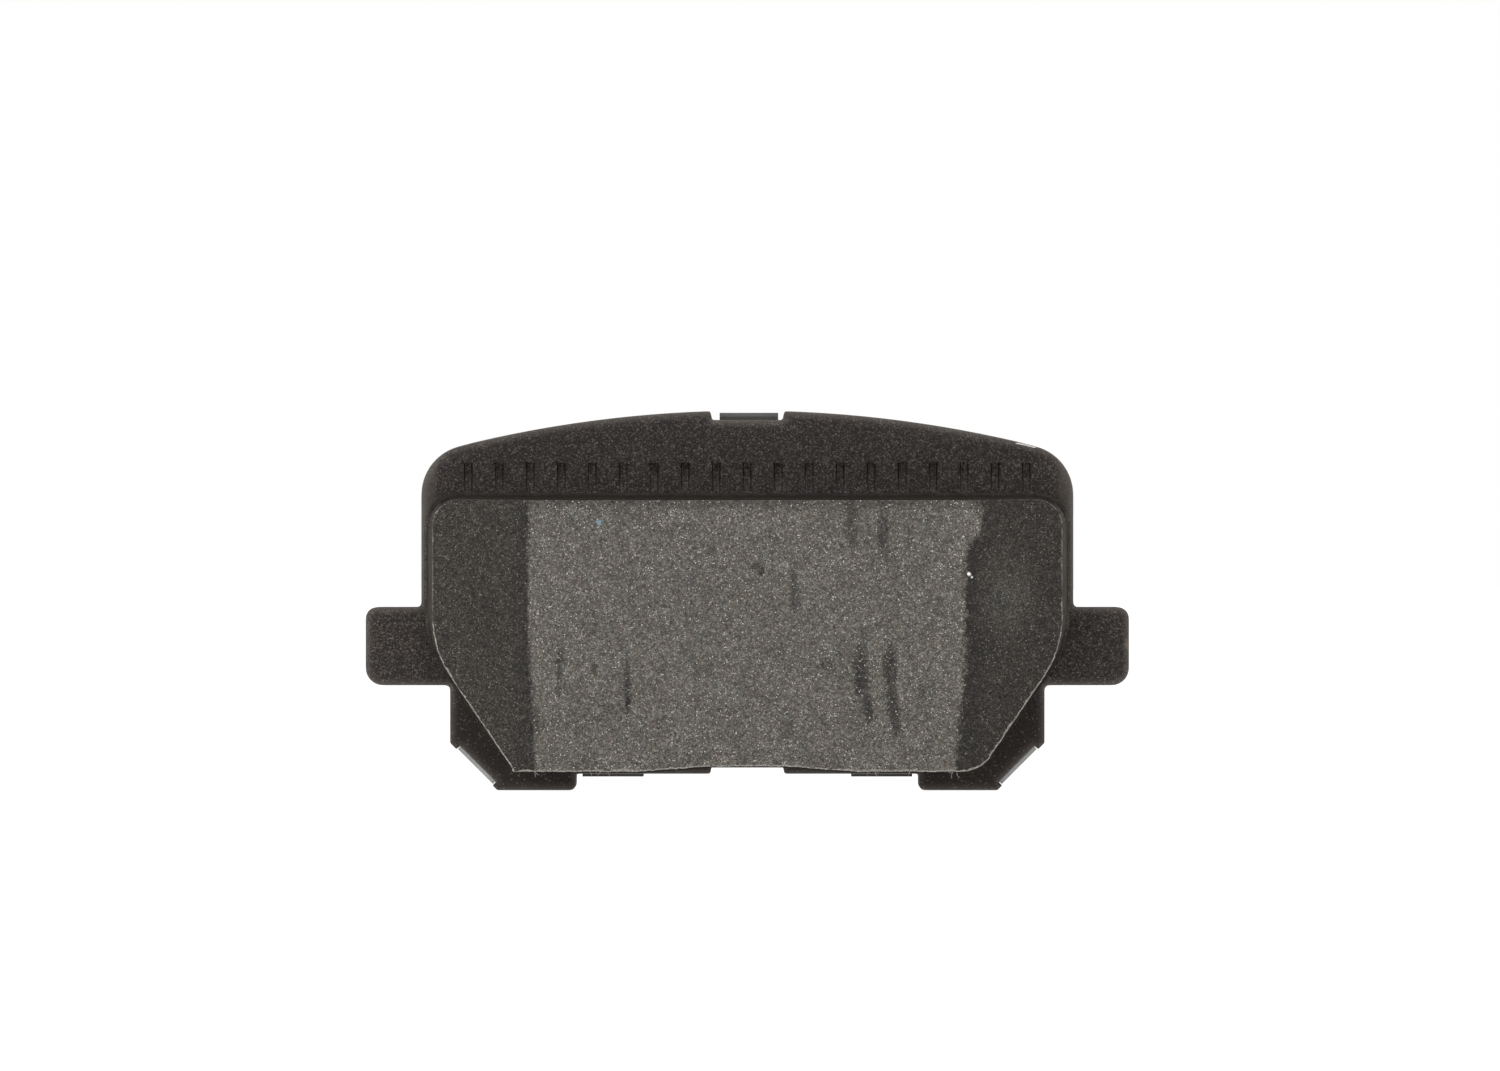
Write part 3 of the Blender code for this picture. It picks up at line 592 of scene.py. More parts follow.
def powder_coat_look():
    """Sandy matt black powder coat with dust in its grain; its rim is paler from wear and a painted
    highlight.
    """
    look = Look("powder_coat", roughness=0.55, specular=0.27)
    across = look.axis("X")
    depth = look.axis("Y")
    up = look.axis("Z")
    fine = look.clouds(COAT_GRAIN, detail=2.0, roughness=0.75)
    cells = look.grains(COAT_GRAIN, look.shaken(0.09 * MM, 0.20 * MM))
    specks = look.grains(COAT_GRAIN, look.shaken(0.08 * MM, 0.22 * MM))
    value = look.math("MULTIPLY_ADD", cells, 0.40, look.times(fine, 1.1))
    tone = look.ramp(value, *COAT_TONES)
    tone = look.mix(look.between(up, *BROWN_HEIGHTS, 0.70, 0.0), tone, COAT_BROWN)
    # Painted light: the row of grooves just above the block is made lighter to offset the block's
    # shade
    from_row = look.math("ABSOLUTE", look.math("SUBTRACT", up, GROOVE_ROW_MIDDLE))
    tone = look.tinted(tone, look.between(from_row, *GROOVE_ROW_HALF, 1.18, 1.0))
    # Painted light: the left ear is made lighter, as the light falls more strongly from the left
    tone = look.tinted(tone, look.between(across, *LEFT_EAR, 1.35, 1.0))
    tone = look.mix(look.between(specks, 0.93, 0.99, 0.0, 0.65), tone, COAT_SPECK)
    # Painted shade: darker inside the slits, where they lie in shade
    tone = look.tinted(tone, look.math("MULTIPLY_ADD", look.painted("slit"), -0.70, 1.0))
    # Painted light: the strips beside the ears are made paler to offset the block's shade on them
    lit_paler = look.between(look.math("ABSOLUTE", across), *LIT_SIDES)
    lit_paler = look.times(lit_paler, look.between(up, *LIT_SIDES_TOP, 0.0, 0.60))
    tone = look.mix(lit_paler, tone, COAT_LIT)
    # Paler rim: partly rubbed wear, partly a painted highlight where the rounded edge catches the
    # light
    rim = look.painted("rim")
    wear_and_highlight = look.times(look.times(rim, rim), look.between(fine, 0.35, 0.65, 0.4, 1.0))
    wear_and_highlight = look.times(wear_and_highlight, look.between(up, *RIM_WEAR_AND_HIGHLIGHT_HEIGHTS, 0.45, 0.75))
    wear_and_highlight = look.times(wear_and_highlight, look.between(depth, *RIM_WEAR_AND_HIGHLIGHT_DEPTHS, 1.0, 0.22))
    tone = look.mix(wear_and_highlight, tone, COAT_WEAR_AND_HIGHLIGHT)
    in_front = look.between(depth, *MARK_DEPTHS, 1.0, 0.0)
    # Painted highlight: the bare scrape is painted bright as the glint it throws
    for x_mm, z_mm in SCRAPE_PLACES:
        scrape_and_glint = look.patch(x_mm * MM, z_mm * MM, *SCRAPE_HALF, softness=0.8)
        tone = look.mix(look.times(scrape_and_glint, in_front), tone, BARE_METAL_AND_GLINT)
    stain = look.times(look.patch(*STAIN_OVAL, softness=0.9), in_front)
    tone = look.mix(look.times(stain, 0.5), tone, OCHRE_STAIN)
    patches = look.clouds(5.0 * MM, detail=4.0, roughness=0.6)
    colour = look.tinted(tone, look.between(patches, *NOISE_RANGE, 0.82, 1.06))
    rough = look.between(fine, *NOISE_RANGE, 0.42, 0.66)
    height = look.math("MULTIPLY_ADD", cells, 0.4, fine)
    return look.finish(colour, rough, look.bump(height, distance=0.08 * MM, strength=0.8))


# Where the ground centre of the friction face ends on the left and on the right
CHAMFER_START = 27.62 * MM
# Grain and tones of the friction lining, from pits to peaks, and what is sprinkled on it
LINING_GRAIN = 0.17 * MM
LINING_LUMPS = 0.45 * MM
GROUND_TONES = ((0.35, srgb(27, 25, 23)), (0.60, srgb(63, 60, 55)), (0.78, srgb(85, 82, 76)),
                (1.00, srgb(136, 132, 125)))
SCORCHED_TONES = ((0.35, srgb(9, 7, 6)), (0.60, srgb(29, 26, 22)), (0.78, srgb(44, 40, 35)),
                  (1.00, srgb(83, 77, 71)))
GROUND_BROWN = srgb(84, 68, 56)
GROUND_SLATE = srgb(66, 72, 75)
SCORCHED_BROWN = srgb(92, 66, 54)
LINING_SPECK = srgb(215, 212, 205)
LINING_THREAD = srgb(190, 188, 180)
LINING_CHIP_AND_HIGHLIGHT = srgb(198, 196, 192)
SPECK_SIZE = 0.165 * MM
# Paler and browner ovals on the chamfers: middle x and z, half width and half height
PALE_OVAL = mm(32.8, 6.6, 5.2, 8.0)
BROWN_OVAL = mm(-33.2, 4.2, 3.6, 5.2)
# Distances from the middle over which the burn fades and the ground centre brightens, and the
# heights over which its top darkens as painted shade of its rounded top edge
BURN_SIDES = mm(29.2, 31.6)
RUBBED_SIDES = mm(22.0, 27.0)
TOP_SHADE_BAND = mm(17.0, 18.7)
# Dark smears ground into the friction face: middle x and z, half width and half height in mm,
# lean (mm of x per mm of z) and strength
SMEARS = (
    (14.75, -0.6, 0.55, 3.6, -0.02, 0.45),
    (14.35, -3.4, 1.05, 3.6, -0.06, 1.05),
    (15.1, -7.4, 0.65, 2.6, -0.14, 0.95),
    (18.0, -2.4, 1.00, 3.4, -0.03, 0.90),
    (18.4, -7.2, 0.75, 4.4, -0.10, 0.90),
    (17.1, 15.0, 0.85, 3.9, 0.02, 0.70),
    (17.4, 12.6, 0.60, 1.4, 0.00, 0.55),
    (13.2, 15.4, 0.85, 3.8, -0.04, 0.65),
    (20.4, 13.6, 0.45, 1.9, 0.00, 0.45),
    (1.05, 10.3, 0.85, 0.55, -0.50, 0.65),
    (1.75, 9.6, 0.45, 0.65, 0.00, 0.95),
    (5.9, 7.2, 0.60, 2.8, -0.05, 0.60),
    (-23.6, -1.2, 0.55, 1.1, 0.00, 0.90),
    (-23.7, -3.6, 0.45, 2.8, 0.00, 0.60),
    (-15.1, -4.8, 0.42, 4.2, 0.00, 0.85),
    (-15.1, -6.8, 0.45, 0.70, 0.00, 1.30),
    (-19.3, -2.7, 0.50, 0.9, 0.00, 0.60),
    (10.1, -2.2, 1.00, 0.9, 0.00, 0.60),
    (-2.7, -2.5, 1.10, 0.6, 0.00, 0.25),
    (-26.5, -8.8, 0.50, 2.2, 0.00, 0.70),
)
# A frayed patch looks smaller than its oval, so a smear's oval is drawn larger
SMEAR_GROWTH = mm(1.25, 1.2)

# Single bright specks of the face, partly flecks and partly painted glints: x, z and radius in mm,
# and colour
GLINTS = (
    (27.9, 9.3, 0.34, (245, 245, 240)),
    (28.3, 8.9, 0.20, (220, 220, 215)),
    (26.6, 13.1, 0.20, (165, 163, 157)),
    (27.2, 14.0, 0.20, (175, 173, 167)),
    (26.9, 11.0, 0.18, (165, 163, 157)),
    (-18.7, 15.8, 0.45, (104, 132, 152)),
    (-26.4, 4.3, 0.18, (180, 178, 171)),
)


def ground_centre(look, across, up):
    """1 on the ground centre of the face, 0 beyond its ragged, leaning borders."""
    ragged = look.math("SUBTRACT", look.clouds(0.7 * MM, detail=4.0, roughness=0.7), 0.5)
    x = look.math("MULTIPLY_ADD", ragged, 1.3 * MM, across)
    lean = look.between(up, -16.0 * MM, 6.0 * MM, 0.85 * MM, 0.0)
    left_edge = look.math("ADD", lean, -CHAMFER_START)
    left = look.between(look.math("SUBTRACT", x, left_edge), -0.35 * MM, 0.45 * MM)
    x = look.math("MULTIPLY_ADD", ragged, 2.6 * MM, across)
    bulge = look.between(up, 12.0 * MM, 15.0 * MM, 0.0, 2.0 * MM)
    taper = look.between(up, -16.0 * MM, 0.0, -1.2 * MM, 0.0)
    right_edge = look.math("ADD", look.math("ADD", bulge, taper), CHAMFER_START - 0.2 * MM)
    right = look.between(look.math("SUBTRACT", x, right_edge), -0.4 * MM, 0.5 * MM, 1.0, 0.0)
    return look.times(left, right)


def ground_tone(look, value, mottle):
    """Colour of the ground centre, before its smears."""
    hue = look.clouds(1.1 * MM, detail=3.0, roughness=0.6, source=look.moved(turn=(0.0, 0.4, 0.0)))
    tone = look.ramp(value, *GROUND_TONES)
    tone = look.mix(look.between(hue, 0.50, 0.70, 0.0, 0.30), tone, GROUND_BROWN)
    tone = look.mix(look.between(hue, 0.48, 0.30, 0.0, 0.28), tone, GROUND_SLATE)
    return look.tinted(tone, look.between(mottle, *NOISE_RANGE, 0.88, 1.12))


def scorched_tone(look, value, mottle, across, ground):
    """Colour of the end chamfers: nearly black beside the ground centre, paler further out, the right
    one darker as painted shade.
    """
    from_middle = look.math("ADD", look.math("ABSOLUTE", across), look.times(mottle, 2.0 * MM))
    tone = look.ramp(value, *SCORCHED_TONES)
    tone = look.tinted(tone, look.between(from_middle, *BURN_SIDES, 0.78, 1.04))
    pale = look.patch(*PALE_OVAL, softness=0.95)
    tone = look.mix(look.times(pale, 0.62), tone, look.tinted(ground, 0.80))
    brown = look.patch(*BROWN_OVAL, softness=0.9)
    tone = look.mix(look.times(brown, 0.35), tone, SCORCHED_BROWN, "SOFT_LIGHT")
    # Painted shade: the right chamfer is darker, as the light falls from the left
    right_shade = look.between(across, -1.0 * MM, 1.0 * MM)
    return look.tinted(tone, look.math("MULTIPLY_ADD", right_shade, -0.17, 1.0))


def smears(look, blur):
    """All dark smears of the face in one value."""
    smeared = None
    for x_mm, z_mm, half_width, half_height, lean, strength in SMEARS:
        wide, high = half_width * SMEAR_GROWTH[0], half_height * SMEAR_GROWTH[1]
        mark = look.patch(x_mm * MM, z_mm * MM, wide, high, 0.6, lean, blur)
        mark = look.times(mark, strength)
        smeared = mark if smeared is None else look.math("MAXIMUM", smeared, mark)
    return smeared


def lining_look():
    """Friction lining: a ground, speckled centre between two dark scorched chamfers."""
    look = Look("friction_lining", roughness=0.75, specular=0.30)
    across = look.axis("X")
    up = look.axis("Z")
    fine = look.clouds(0.15 * MM, detail=2.0, roughness=0.7)
    cells = look.grains(LINING_GRAIN)
    value = look.math("MULTIPLY_ADD", cells, 0.30, fine)
    value = look.math("MULTIPLY_ADD", look.grains(LINING_LUMPS), 0.10, value)
    mottle = look.clouds(2.6 * MM, detail=4.0, roughness=0.6)
    ground = ground_tone(look, value, mottle)
    scorched = scorched_tone(look, value, mottle, across, ground)
    ground = look.tinted(ground, look.between(look.math("ABSOLUTE", across), *RUBBED_SIDES, 1.0, 1.10))
    # Painted shade: the top of the ground centre darkens, as shade on its rounded top edge
    ground = look.tinted(ground, look.between(up, *TOP_SHADE_BAND, 1.0, 0.50, smooth=False))
    blur = look.math("SUBTRACT", look.clouds(0.5 * MM, detail=4.0, roughness=0.75), 0.5)
    smeared = smears(look, blur)
    ground = look.tinted(ground, look.math("MULTIPLY_ADD", smeared, -0.70, 1.0))
    centre = ground_centre(look, across, up)
    colour = look.mix(centre, scorched, ground)
    loose = look.shaken(0.10 * MM, 0.16 * MM)
    chosen = look.between(look.grains(SPECK_SIZE, loose), 0.935, 0.965)
    small = look.between(look.from_centre(SPECK_SIZE, loose), 0.25, 0.5, 1.0, 0.0)
    specks = look.times(look.times(chosen, small),
                       look.between(centre, 0.0, 1.0, 0.30, 0.85))
    colour = look.mix(specks, colour, LINING_SPECK)
    for x_mm, z_mm, radius, tone in GLINTS:
        glint = look.patch(x_mm * MM, z_mm * MM, radius * MM, radius * MM, 0.7, blur=blur)
        colour = look.mix(look.times(glint, 0.8), colour, srgb(*tone))
    # Pale edge: partly chipped lining, partly a painted highlight along the lower edges
    colour = look.mix(look.times(look.painted("edge"), 0.90), colour, LINING_CHIP_AND_HIGHLIGHT)
    threads = look.math("MAXIMUM", look.fibres(0.08 * MM, 0.8 * MM, 0.6),
                        look.fibres(0.07 * MM, 0.7 * MM, -0.5))
    threads = look.times(threads, look.between(centre, 0.0, 1.0, 0.1, 0.40))
    colour = look.mix(threads, colour, LINING_THREAD)
    rough = look.between(value, 0.35, 1.0, 0.85, 0.55)
    height = look.math("MULTIPLY_ADD", cells, 0.35, fine)
    height = look.math("MULTIPLY_ADD", smeared, -0.5, height)
    return look.finish(colour, rough, look.bump(height, distance=0.045 * MM, strength=0.7))


WALL_TONES = ((0.3, srgb(18, 15, 12)), (0.55, srgb(34, 30, 26)), (0.8, srgb(68, 62, 56)))
WALL_LIT_TONES = ((0.3, srgb(42, 39, 36)), (0.7, srgb(80, 75, 69)))
# Where the wall is painted paler as light that offsets its shade: towards the ends, and low down
WALL_LIT_ENDS = mm(38.6, 39.6)
WALL_LIT_HEIGHTS = mm(6.0, 14.0)


def mottled(look, tone, size, low, high):
    """A colour made darker and paler in clouds of the given size."""
    return look.tinted(tone, look.between(look.clouds(size), *NOISE_RANGE, low, high))


def raw_wall_look():
    """Moulded side of the lining: dark and rough, painted paler as light towards its ends and low
    down.
    """
    look = Look("lining_wall", roughness=0.95, specular=0.12)
    fine = look.clouds(0.2 * MM, detail=3.0, roughness=0.65)
    across = look.axis("X")
    # Painted light: the wall is paler towards its ends, more on the right, and low down, to offset its
    # shade
    lit_paler = look.between(look.math("ABSOLUTE", across), *WALL_LIT_ENDS)
    lit_paler = look.times(lit_paler, look.between(across, -1.0 * MM, 1.0 * MM, 0.75, 0.95))
    lit_paler = look.math("MAXIMUM", lit_paler, look.between(look.axis("Z"), *WALL_LIT_HEIGHTS, 0.35, 0.0))
    tone = look.mix(lit_paler, look.ramp(fine, *WALL_TONES), look.ramp(fine, *WALL_LIT_TONES))
    colour = mottled(look, tone, 1.6 * MM, 0.8, 1.2)
    return look.finish(colour, None, look.bump(fine, distance=0.08 * MM, strength=0.8))


CHIPPED_TONES = ((0.3, srgb(70, 67, 62)), (0.5, srgb(122, 118, 111)), (0.75, srgb(180, 176, 168)))


def chipped_look():
    """Freshly broken edge of the lining, pale with dust."""
    look = Look("chipped_edge", roughness=0.8)
    fine = look.clouds(0.18 * MM, detail=2.0, roughness=0.6)
    colour = look.ramp(fine, *CHIPPED_TONES)
    return look.finish(colour, None, look.bump(fine, distance=0.05 * MM, strength=0.6))


# Depths between which a sheet becomes a folded tab, and heights over which the tabs go from painted
# lighter low down to painted darker at the top, as light and shade
FOLD_DEPTHS = mm(-1.2, -0.9)
TAB_HEIGHTS = mm(-13.0, 20.0)


def steel_look(name, base, roughness):
    """Cold-rolled sheet with fine rolling lines and faint smudges; its tabs painted lighter low down
    and darker at the top as light and shade.
    """
    look = Look(name, roughness=roughness, metallic=1.0)
    lines = look.clouds(0.12 * MM, detail=3.0, source=look.moved(scale=(30.0, 1.0, 1.0)))
    smudge = look.clouds(9.0 * MM, detail=3.0)
    tone = look.ramp(lines, (0.3, tuple(c * 0.82 for c in base)), (0.7, base))
    colour = look.tinted(tone, look.between(smudge, *NOISE_RANGE, 0.9, 1.05))
    # Painted light and shade: the folded tabs are lighter at the feet and darker at the top
    folded = look.between(look.axis("Y"), *FOLD_DEPTHS, 1.0, 0.0)
    tab_light_and_shade = look.between(look.axis("Z"), *TAB_HEIGHTS, 0.60, -0.45)
    colour = look.tinted(colour, look.math("MULTIPLY_ADD", folded, tab_light_and_shade, 1.0))
    rough = look.math("ADD", look.between(smudge, *NOISE_RANGE, roughness - 0.06, roughness + 0.08),
                      look.times(lines, 0.08))
    return look.finish(colour, rough, look.bump(lines, distance=0.01 * MM, strength=0.3))


def rubber_look(name, tone):
    """Thin matt coat with a fine leathery grain."""
    look = Look(name, roughness=0.7)
    fine = look.clouds(0.25 * MM, detail=3.0)
    colour = look.ramp(fine, (0.3, tuple(c * 0.7 for c in tone)), (0.7, tuple(c * 1.3 for c in tone)))
    colour = mottled(look, colour, 5.0 * MM, 0.85, 1.15)
    rough = look.between(fine, *NOISE_RANGE, 0.62, 0.8)
    return look.finish(colour, rough, look.bump(fine, distance=0.03 * MM, strength=0.5))


# ------------------------------ the plate

# Die roll round the front, and the broken edge round the back
ROLL_WIDTH = 1.15 * MM
ROLL_DEPTH = 0.75 * MM
BURR_WIDTH = 0.25 * MM
BURR_DEPTH = 0.10 * MM
# Unevenness of the front: half its height, and the size of its features
SWAY = 0.015 * MM
SWAY_SIZE = 4.0 * MM
SWAY_SEED = 3.0
PLATE_WALL_ROUGHNESS = 0.03 * MM
PLATE_POINT_SPACING = 0.3 * MM
# Row of grooves, each a shallow recess between two slits of varying width and depth in mm
GROOVE_COUNT = 19
GROOVE_PITCH = 3.955 * MM
GROOVE_WIDTH = 1.10 * MM
GROOVE_BOTTOM = 19.75 * MM
GROOVE_TOP = 23.40 * MM
RECESS_DEPTH = 0.02 * MM
SLIT_LAND = 0.06 * MM
SLIT_WIDTHS = (0.15, 0.20)
SLIT_DEPTHS = (0.10, 0.19)


def rounded_rim(distance, width, depth):
    """How far a surface falls away near its rim, on a quarter of an ellipse."""
    share = np.clip(1.0 - distance / width, 0.0, 1.0)
    return depth * (1.0 - np.sqrt(1.0 - share ** 2))


def plate_front(points, distance):
    """Y of the plate's front: die-rolled rim and a faint unevenness."""
    roll = rounded_rim(distance, ROLL_WIDTH, ROLL_DEPTH)
    sway = SWAY * (1.0 + value_noise(points, SWAY_SIZE, SWAY_SEED))
    return PLATE_FRONT + roll + sway


def plate_back(points, distance):
    """Y of the plate's back, with its rim only slightly broken."""
    return PLATE_BACK - rounded_rim(distance, BURR_WIDTH, BURR_DEPTH)


def rectangle(x0, x1, z0, z1):
    """Anticlockwise rectangle."""
    return np.array([(x0, z0), (x1, z0), (x1, z1), (x0, z1)])


def groove_features():
    """The outlines and depths of all grooves."""
    draw = random.Random(5)
    features = []
    for number in range(GROOVE_COUNT):
        middle = (number - (GROOVE_COUNT - 1) / 2.0) * GROOVE_PITCH
        left = middle - GROOVE_WIDTH / 2.0
        right = middle + GROOVE_WIDTH / 2.0
        left_inner = left + draw.uniform(*SLIT_WIDTHS) * MM
        right_inner = right - draw.uniform(*SLIT_WIDTHS) * MM
        left_depth = draw.uniform(*SLIT_DEPTHS) * MM
        right_depth = draw.uniform(*SLIT_DEPTHS) * MM
        for x0, x1, depth in ((left, left_inner, left_depth),
                              (left_inner + SLIT_LAND, right_inner - SLIT_LAND, RECESS_DEPTH),
                              (right_inner, right, right_depth)):
            features.append((rectangle(x0, x1, GROOVE_BOTTOM, GROOVE_TOP), depth))
    return features


def build_plate():
    """The backing plate in full detail."""
    loops = slice_loops("backing_plate", (PLATE_FRONT + PLATE_BACK) / 2.0)
    plate = slab("plate_body", loops, plate_front, plate_back, groove_features(),
                 PLATE_POINT_SPACING, PLATE_WALL_ROUGHNESS, powder_coat_look())
    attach(plate, "root")
    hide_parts("backing_plate")


# ------------------------------ the friction block

# Depth of the end chamfers over their length
CHAMFER_SLOPE = 2.60 / 11.80
BLOCK_POINT_SPACING = 0.24 * MM
# Draft of the block's wall by the direction it faces, in degrees above the horizon
DRAFT_FACING = (-90.0, -34.0, 0.0, 90.0)
DRAFT = (0.005, 0.040, 0.165, 0.075)
# How strongly the edge is chipped by the direction it faces, and how much of that breaks it
CHIP_FACING = (-90.0, -34.0, -5.0, 90.0)
CHIP = (1.0, 0.9, 0.35, 0.25)
BROKEN_FROM = 0.30
# A chip's drop, run and bite into the outline: the least, and what the deepest adds, in mm
CHIP_DROP = (0.03, 0.24)
CHIP_RUN = (0.05, 0.24)
CHIP_BITE = (0.02, 0.09)
# How pale the edge is painted by the direction it faces and on the left, and its width: partly
# chipped lining, partly a painted highlight that is strongest where the edge faces down to the floor
PALE_FACING = (-90.0, -34.0, 0.0, 30.0, 55.0, 75.0, 90.0)
PALE = (1.0, 1.0, 0.30, 0.30, 0.25, 0.08, 0.05)
PALE_LEFT = 0.75
PALE_WIDTH = 0.15 * MM
# The face's rows of points near its rim, the points further in, and those along the creases
FACE_RIM = mm(0.05, 0.11, 0.18, 0.27, 0.4, 0.7)
FACE_SPACING = 0.9 * MM
FACE_MARGIN = 1.0 * MM
CREASE_SPACING = 0.6 * MM
CREASE_ROOM = 0.3 * MM
# Levels of the wall in shares of its height, and how far down the chips reach
WALL_SHARES = (0.012, 0.03, 0.06, 0.11, 0.18, 0.28, 0.4, 0.54, 0.7, 0.85, 1.0)
CHIPPED_SHARE = 0.3
# Feature sizes of the wall's noise, across and along Y
BLOCK_WALL_FINE = mm(0.9, 1.8)
BLOCK_WALL_COARSE = mm(2.4, 2.4)


def chamfer_depth(x):
    """Depth of the end chamfers below the friction face."""
    return np.maximum(0.0, np.abs(x) - CHAMFER_START) * CHAMFER_SLOPE


def face_points(outline):
    """Points scattered over the face, and the creases where its end chamfers start."""
    creases = []
    for x in (-CHAMFER_START, CHAMFER_START):
        heights = np.arange(outline[:, 1].min(), outline[:, 1].max(), CREASE_SPACING)
        crease = np.stack([np.full_like(heights, x), heights], axis=1)
        crease = crease[inside(crease, outline)]
        creases.append(crease[edge_distance(crease, outline) > CREASE_ROOM])
    rows = rim_rows(outline, FACE_RIM)
    grid = grid_rows(outline, FACE_SPACING, FACE_MARGIN)
    grid = grid[np.abs(np.abs(grid[:, 0]) - CHAMFER_START) > CREASE_ROOM]
    return np.vstack([rows, grid]), creases


def build_block():
    """The friction block with rough drafted walls and a chipped edge."""
    face_material, wall_material, chip_material = range(3)
    back_loop = slice_loops("friction_block", BLOCK_BACK - 0.01 * MM)[0]
    border = dense(back_loop, BLOCK_POINT_SPACING)
    normals = inward(border)
    facing = np.degrees(np.arctan2(-normals[:, 1], np.abs(normals[:, 0])))
    draft = np.interp(facing, DRAFT_FACING, DRAFT)
    chipping = np.interp(facing, CHIP_FACING, CHIP)

    def at_depth(depth):
        return border + normals * (draft * (BLOCK_DEPTH - depth))[:, None]

    edge_depth = np.zeros(len(border))
    for _ in range(3):
        edge_depth = chamfer_depth(at_depth(edge_depth)[:, 0])
    edge = at_depth(edge_depth)
    ragged = 0.5 + 0.7 * value_noise(edge, 0.55 * MM, 1.0) + 0.5 * value_noise(edge, 2.1 * MM, 7.0)
    ragged = np.clip(ragged, 0.0, 1.3)
    drop = (CHIP_DROP[0] + CHIP_DROP[1] * chipping * ragged ** 1.6) * MM
    run = (CHIP_RUN[0] + CHIP_RUN[1] * chipping * ragged) * MM
    bitten_edge = edge + normals * ((CHIP_BITE[0] + CHIP_BITE[1] * chipping * ragged) * MM)[:, None]

    scattered, creases = face_points(bitten_edge)
    where, faces, origin = triangulated([bitten_edge], scattered, creases)
    distance = edge_distance(where, bitten_edge)
    near = nearest_numbers(where, bitten_edge)
    chip = drop[near] * np.clip(1.0 - distance / run[near], 0.0, 1.0) ** 1.2
    depth = chamfer_depth(where[:, 0]) + chip
    vertices = np.stack([where[:, 0], FACE + depth, where[:, 1]], axis=1).tolist()
    breaks = ragged * chipping > BROKEN_FROM
    bitten = (distance < run[near] * 0.98) & breaks[near]
    broken = bitten[faces].sum(axis=1) >= 2
    polygons = faces.tolist()
    materials = np.where(broken, chip_material, face_material).tolist()

    number_of = {int(source): index for index, source in enumerate(origin)}
    count = len(border)
    ring = [number_of[i] for i in range(count)]
    for share in WALL_SHARES:
        depths = edge_depth + (BLOCK_DEPTH - edge_depth) * share
        level = at_depth(depths)
        fade = 1.0 if share < 1.0 else 0.0
        following = []
        for i in range(count):
            x, z = level[i]
            y = FACE + depths[i] + drop[i] * (1.0 - share) * (share < CHIPPED_SHARE)
            coarse = wall_noise(x, y, z, *BLOCK_WALL_COARSE)
            fine = wall_noise(x, y, z, *BLOCK_WALL_FINE)
            sunk = fade * MM * (0.06 + 0.015 * fine + 0.05 * coarse)
            following.append(len(vertices))
            vertices.append((x + normals[i, 0] * sunk, y, z + normals[i, 1] * sunk))
        polygons += [(ring[i], ring[(i + 1) % count], following[(i + 1) % count], following[i])
                     for i in range(count)]
        chipped = breaks & (share == WALL_SHARES[0])
        materials += np.where(chipped, chip_material, wall_material).tolist()
        ring = following
    back_edge = np.array([(vertices[i][0], vertices[i][2]) for i in ring])
    _, back_faces, back_origin = triangulated([back_edge], np.empty((0, 2)))
    polygons += [[ring[back_origin[corner]] for corner in face] for face in back_faces.tolist()]
    materials += [wall_material] * len(back_faces)
    block = new_piece("lining_block", vertices, polygons,
                      [lining_look(), raw_wall_look(), chipped_look()], materials)
    # Painted highlight and chips: the pale edge, strongest where it faces down
    pale = np.interp(facing, PALE_FACING, PALE) * np.where(edge[:, 0] < 0.0, PALE_LEFT, 1.0)
    pale = np.clip(pale * (0.75 + 1.1 * value_noise(edge, 0.6 * MM, 4.0)), 0.0, 1.0)
    chip_and_highlight = np.zeros(len(vertices))
    chip_and_highlight[:len(where)] = pale[near] * np.clip(1.0 - distance / PALE_WIDTH, 0.0, 1.0)
    paint(block, "edge", chip_and_highlight)
    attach(block, "root")
    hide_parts("friction_block")


# ------------------------------ loose fibres

# Where fibres stand along the lower edge, in mm
FIBRE_PLACES = (-26.9, -26.7, -20.0, -19.2, -18.4, -17.7, -17.0, 14.4, 15.0, 15.6, 16.2, 16.9,
                25.3, 26.0, 26.5, 20.6)
FIBRE_RADIUS = 0.035 * MM
FIBRE_SIDES = 6
FIBRE_STEPS = 7
# A fibre's depth behind the face and step length in mm, and its curl at each step in radians
FIBRE_DEPTHS = (0.9, 3.5)
FIBRE_STEP_LENGTHS = (0.10, 0.19)
FIBRE_CURLS = (-0.35, 0.35)
FIBRE_ROOT = BLOCK_LOW.z + 0.15 * MM
FIBRE_TONES = ((0.3, srgb(120, 116, 108)), (0.7, srgb(190, 187, 178)))


def fibre_look():
    """Pale mineral fibre."""
    look = Look("loose_fibre", roughness=0.6)
    along = look.clouds(0.3 * MM)
    colour = look.ramp(along, *FIBRE_TONES)
    return look.finish(colour, None, look.bump(along, distance=0.01 * MM, strength=0.5))


